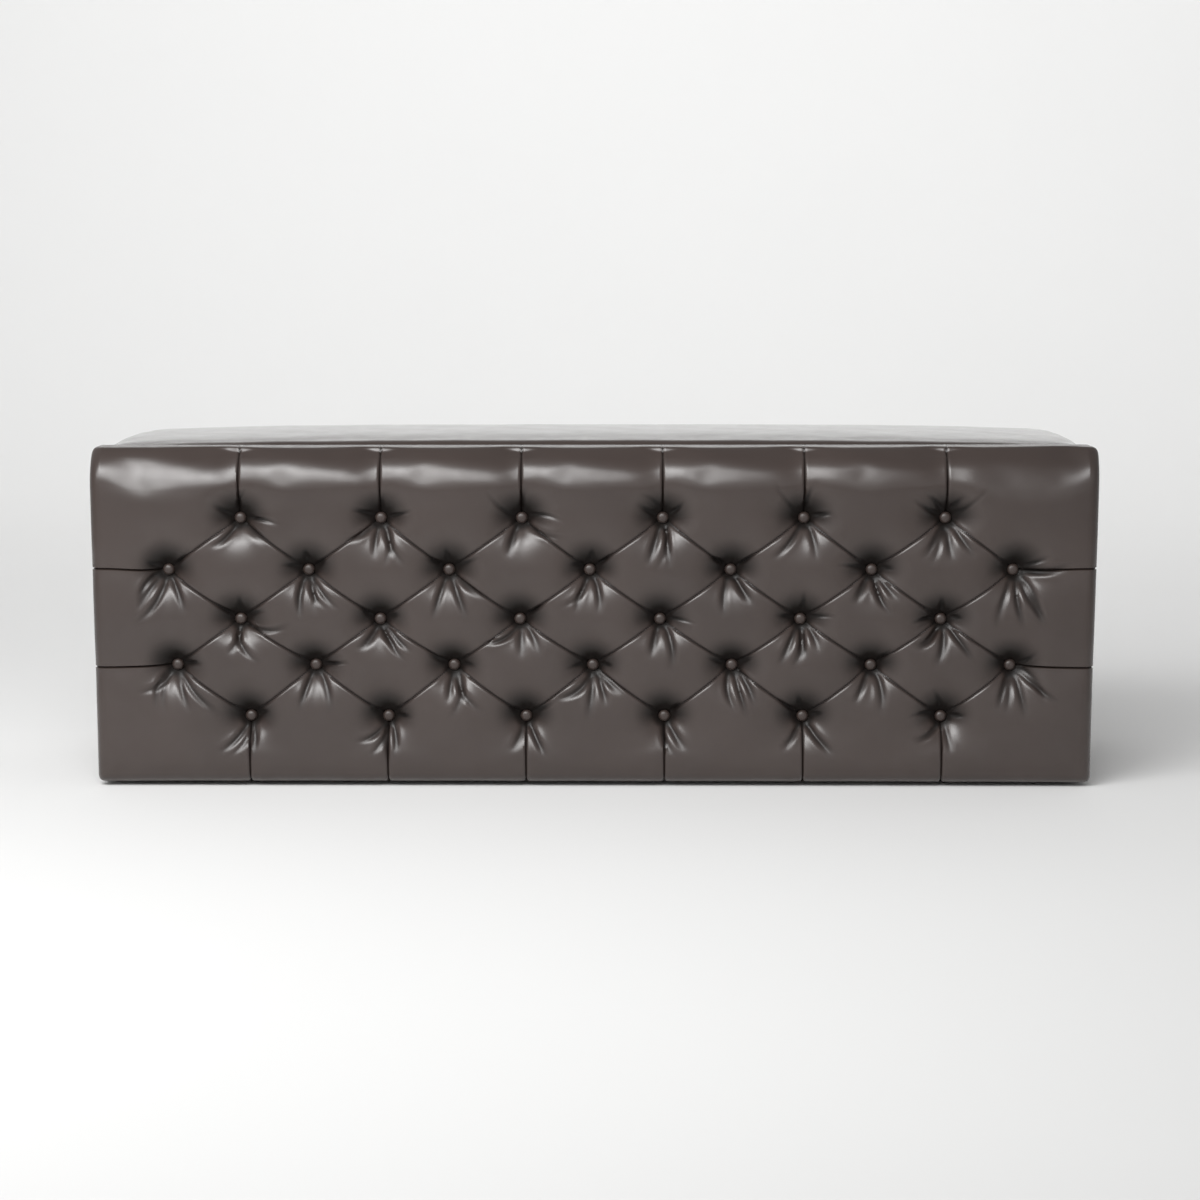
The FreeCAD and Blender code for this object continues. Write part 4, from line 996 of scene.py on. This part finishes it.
def flatSheet(name, node, body, ripple, material):
    # cloth over the whole of a thin node's box
    low, high = nodeBox(node)
    x, y = zip(low[:2], high[:2])
    points, faces = clothSlab(x, y, (low[2] + high[2]) / 2, flatCloth["thick"], ripple,
                              flatCloth["columns"], flatCloth["rows"])
    sheet = makePiece(name, points, faceTuples(faces), material, body)
    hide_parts(node)
    return sheet, low, high


hem = {
    "outer": 3 * mm, "thick": 0.45 * mm, "ripple": 0.04 * mm, "window": 38 * mm,
    "steps": 8 * mm, "leastLines": 5,
}


def buildLidHem(linerLow, linerHigh):
    # the lid cover's edge under its board: one strip at the front, two at the ends, and between the hinges
    right, rear, ahead = lidHigh[0] - hem["outer"], lidHigh[1] - hem["outer"], lidLow[1] + hem["outer"]
    strips = [(-right, right, ahead, linerLow[1]),
              (-right, linerLow[0], linerLow[1], linerHigh[1]),
              (linerHigh[0], right, linerLow[1], linerHigh[1])]
    stops = [-right] + [spot + way * hem["window"] for spot in hingeSpots for way in (-1, 1)] + [right]
    strips += [(start, stop, linerHigh[1], rear) for start, stop in zip(stops[::2], stops[1::2])]
    allPoints, allFaces, count = [], [], 0
    for x0, x1, y0, y1 in strips:
        columns, rows = (max(hem["leastLines"], int(run / hem["steps"])) for run in (x1 - x0, y1 - y0))
        points, faces = clothSlab((x0, x1), (y0, y1), lidLow[2] - hem["thick"] / 2, hem["thick"],
                                  hem["ripple"], columns, rows)
        allPoints.append(points)
        allFaces.append(faces + count)
        count += len(points)
    faces = faceTuples(np.concatenate(allFaces))
    return makePiece("lidCoverHem", np.concatenate(allPoints), faces, plainVinyl, "lid")


def buildSheets():
    dust, low, high = flatSheet(
        "dustCoverSheet", "dust_cover", "base", flatCloth["dustRipple"], dustCloth)
    liner, low, high = flatSheet(
        "lidLinerSheet", "lid_liner", "lid", flatCloth["linerRipple"], liningCloth)
    buildLidHem(low, high)


buildSheets()

lining = {
    "inset": 1.0 * mm, "notch": 29 * mm, "corner": 5 * mm, "cornerSamples": 9, "thick": 0.9 * mm,
    "columns": 420, "wallRows": 16, "coveRows": 6, "floorRows": 12,
    "coveTop": 8 * mm, "coveDrop": 6.5 * mm, "coveStart": 0.3, "floorLift": 1.3 * mm,
    "floorStart": 0.12, "floorEnd": 0.999, "quilt": 0.4 * mm, "quiltRates": (19, 27, 21),
}


def notchedPath(low, high, notch):
    # rectangle with square notches at its corners, corners eased by averaging along the path
    x0, y0, x1, y1 = low[0], low[1], high[0], high[1]
    innerX0, innerY0, innerX1, innerY1 = x0 + notch, y0 + notch, x1 - notch, y1 - notch
    turns = np.array([(innerX0, y0), (innerX1, y0), (innerX1, innerY0), (x1, innerY0),
                      (x1, innerY1), (innerX1, innerY1), (innerX1, y1), (innerX0, y1),
                      (innerX0, innerY1), (x0, innerY1), (x0, innerY0), (innerX0, innerY0)])
    runs = np.linalg.norm(np.roll(turns, -1, 0) - turns, axis=1)
    at = np.concatenate([[0], np.cumsum(runs)])
    closed = np.concatenate([turns, turns[:1]])
    s = np.linspace(0, at[-1], lining["columns"], endpoint=False)
    samples = lining["cornerSamples"]
    total = np.zeros((len(s), 2))
    for shift in np.linspace(-lining["corner"], lining["corner"], samples):
        where = (s + shift) % at[-1]
        total += np.stack([np.interp(where, at, closed[:, k]) for k in (0, 1)], 1) / samples
    return total


def buildLining():
    # cloth stuck to the box's inside: down the walls from a folded hem, round a small cove, over the floor
    low, high = nodeBox("storage_lining")
    path = notchedPath(low + lining["inset"], high - lining["inset"], lining["notch"])
    centre = (low[:2] + high[:2]) / 2
    wall, cove, floor = lining["wallRows"], lining["coveRows"], lining["floorRows"]
    coveTop = low[2] + lining["coveTop"]
    turn = np.linspace(lining["coveStart"], math.pi / 2, cove)
    height = np.concatenate([np.linspace(high[2], coveTop, wall), coveTop - lining["coveDrop"] * np.sin(turn),
                             np.full(floor, low[2] + lining["floorLift"])])
    pull = np.concatenate([np.zeros(wall), lining["coveTop"] * (1 - np.cos(turn)), np.zeros(floor)])
    share = np.concatenate([np.zeros(wall + cove), np.linspace(lining["floorStart"], 1.0, floor)])
    toward = centre - path
    unit = toward / np.linalg.norm(toward, axis=1, keepdims=True)
    ring = path[None] + unit[None] * pull[:, None, None]
    ring = ring + (centre - ring) * (share[:, None, None] * lining["floorEnd"])
    rateX, rateY, rateZ = lining["quiltRates"]
    quilt = lining["quilt"] * np.sin(ring[..., 0] * rateX)
    quilt = quilt * np.sin(ring[..., 1] * rateY + height[:, None] * rateZ)
    level = height[:, None] + np.abs(quilt) * (share[:, None] > 0)
    points = np.concatenate([ring, level[..., None]], -1)
    index = np.arange(level.size).reshape(level.shape)
    right = np.roll(index, -1, 1)
    quads = np.stack([index[:-1], index[1:], right[1:], right[:-1]], -1).reshape(-1, 4)
    faces = faceTuples(quads) + [tuple(index[-1].tolist())]
    piece = makePiece("storageLiningCloth", points, faces, liningCloth, "base")
    shell = piece.modifiers.new("Solidify", "SOLIDIFY")
    shell.thickness = lining["thick"]
    shell.offset = -1.0
    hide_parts("storage_lining")
    length, width, wall = high - low


buildLining()
print("linings built")


# finishes of the solids that stay

hingeParts = [f"hinge_{side}_{part}" for side in hingeSides for part in ("base_leaf", "lid_leaf", "pin")]
finishes = [
    (plainWood, ["front_board", "back_board", "bottom_panel"]),
    (plainWood, ["front_lid_rail", "rear_lid_rail", "lid_board"]),
    (endWood, ["left_end_board", "right_end_board"]),
    (postWood, ["corner_posts"]),
    (battenWood, ["bottom_battens", "lid_battens"]),
    (zincSteel, ["frame_screws", "hinge_base_screws", "hinge_lid_screws", "tuft_washers", *hingeParts]),
    (glidePlastic, ["floor_glides"]),
    (waxedTwine, ["tuft_twines"]),
]
for material, names in finishes:
    for name in names:
        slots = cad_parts[name].data.materials
        if len(slots) == 0:
            slots.append(material)
        for index in range(len(slots)):
            slots[index] = material


# floor, light and camera

stage = {
    "near": -8.0, "bendStart": 3.0, "bendRadius": 2.2, "bendSteps": 24, "top": 7.0,
    "halfWidth": 9, "columns": 7,
    "floorColour": (0.465, 0.465, 0.462, 1), "wallColour": (0.86, 0.86, 0.855, 1),
    "rough": 0.85, "specular": 0.15, "paleFrom": -2.3, "paleTo": 0.1, "clouds": 0.7, "cloudShare": 0.02,
}


def buildStage():
    # floor that sweeps up behind: flat run, quarter circle, upright run, carried across the width
    radius = stage["bendRadius"]
    turn = np.linspace(0, math.pi / 2, stage["bendSteps"])
    bend = stage["bendStart"] + radius * np.sin(turn)
    along = np.concatenate([[stage["near"]], bend, [stage["bendStart"] + radius]])
    rise = np.concatenate([[0.0], radius * (1 - np.cos(turn)), [stage["top"]]])
    across = np.linspace(-stage["halfWidth"], stage["halfWidth"], stage["columns"])
    gridX, alongY = np.meshgrid(across, along)
    gridZ = np.repeat(rise[:, None], len(across), 1)
    points = np.stack([gridX, alongY, gridZ], -1)
    material, tree, shader = startMaterial(
        "paleFloor", Roughness=stage["rough"], Specular_IOR_Level=stage["specular"])
    place = objectPlace(tree)
    cloud = noise(tree, place, stage["clouds"], 2.0)
    parts = addNode(tree, "ShaderNodeSeparateXYZ", {"Vector": place})
    rising = ramp(tree, parts.outputs["Y"], stage["paleFrom"], stage["paleTo"])
    uneven = ramp(tree, cloud, *wideNoise, -stage["cloudShare"], stage["cloudShare"])
    rising = mathNode(tree, "ADD", rising, uneven, True)
    colour = mixColour(tree, rising, stage["floorColour"], stage["wallColour"])
    tree.links.new(colour, shader.inputs["Base Color"])
    faces = faceTuples(gridQuads(len(across), len(along)))
    makeObject("studioFloor", points, faces, material)


sky = {"horizon": 0.86, "zenith": 0.33, "rise": (0.15, 0.8), "sides": 0.4, "aside": (0.6, 0.95)}
lamps = {
    "keyLight": {"power": 78.0, "place": (-0.95, -2.2, 1.9), "target": (0, -0.2, 0.25), "size": (3.0, 1.5)},
    "keyCore": {"power": 16.0, "place": (-1.0, -2.1, 1.95), "target": (0, -0.2, 0.25), "size": (1.3, 0.6)},
    "backLight": {"power": 71.0, "place": (0, 2.2, 3.6), "target": (0, 5.2, 1.6), "size": (6.0, 1.0)},
}


def addAreaLight(name, place, target, size, power):
    lamp = bpy.data.lights.new(name, "AREA")
    lamp.shape = "RECTANGLE"
    lamp.size, lamp.size_y = size
    lamp.energy = power
    light = bpy.data.objects.new(name, lamp)
    light.location = place
    aim = np.array(target, float) - np.array(place, float)
    yaw = math.atan2(aim[0], aim[1])
    tilt = math.atan2(-aim[2], math.hypot(aim[0], aim[1]))
    light.rotation_euler = (math.pi / 2 - tilt, 0, -yaw)
    light.visible_camera = False
    bpy.context.scene.collection.objects.link(light)


def buildLights():
    # pale sky that falls off overhead and to both sides, with three soft lamps
    world = bpy.data.worlds.new("studioWorld")
    world.use_nodes = True
    tree = world.node_tree
    background = tree.nodes["Background"]
    background.inputs["Color"].default_value = (1, 1, 1, 1)
    direction = addNode(tree, "ShaderNodeTexCoord").outputs["Generated"]
    parts = addNode(tree, "ShaderNodeSeparateXYZ", {"Vector": direction})
    strength = ramp(tree, parts.outputs["Z"], *sky["rise"], sky["horizon"], sky["zenith"])
    aside = mathNode(tree, "ABSOLUTE", parts.outputs["X"], 0.0)
    strength = mathNode(tree, "MULTIPLY", strength, ramp(tree, aside, *sky["aside"], 1.0, sky["sides"]))
    tree.links.new(strength, background.inputs["Strength"])
    bpy.context.scene.world = world
    bpy.context.scene.view_settings.view_transform = "Standard"
    for name, lamp in lamps.items():
        addAreaLight(name, **lamp)


# the photograph's view: focal length in pixels of a picture that is 1200 wide, angles in radians
view = {
    "place": (0.066, -3.805, 0.68), "pitch": 0.1213, "yaw": 0.0155, "roll": 0.0015,
    "focal": 2862.0, "pictureWidth": 1200, "sensor": 36,
}


def buildCamera():
    lens = bpy.data.cameras.new("photoView")
    lens.sensor_fit = "HORIZONTAL"
    lens.sensor_width = view["sensor"]
    lens.lens = view["focal"] / view["pictureWidth"] * view["sensor"]
    camera = bpy.data.objects.new("photoView", lens)
    camera.location = view["place"]
    camera.rotation_mode = "XYZ"
    camera.rotation_euler = (math.pi / 2 - view["pitch"], view["roll"], view["yaw"])
    bpy.context.scene.collection.objects.link(camera)
    bpy.context.scene.camera = camera


buildStage()
buildLights()
buildCamera()
bpy.context.view_layer.update()
print("scene ready")
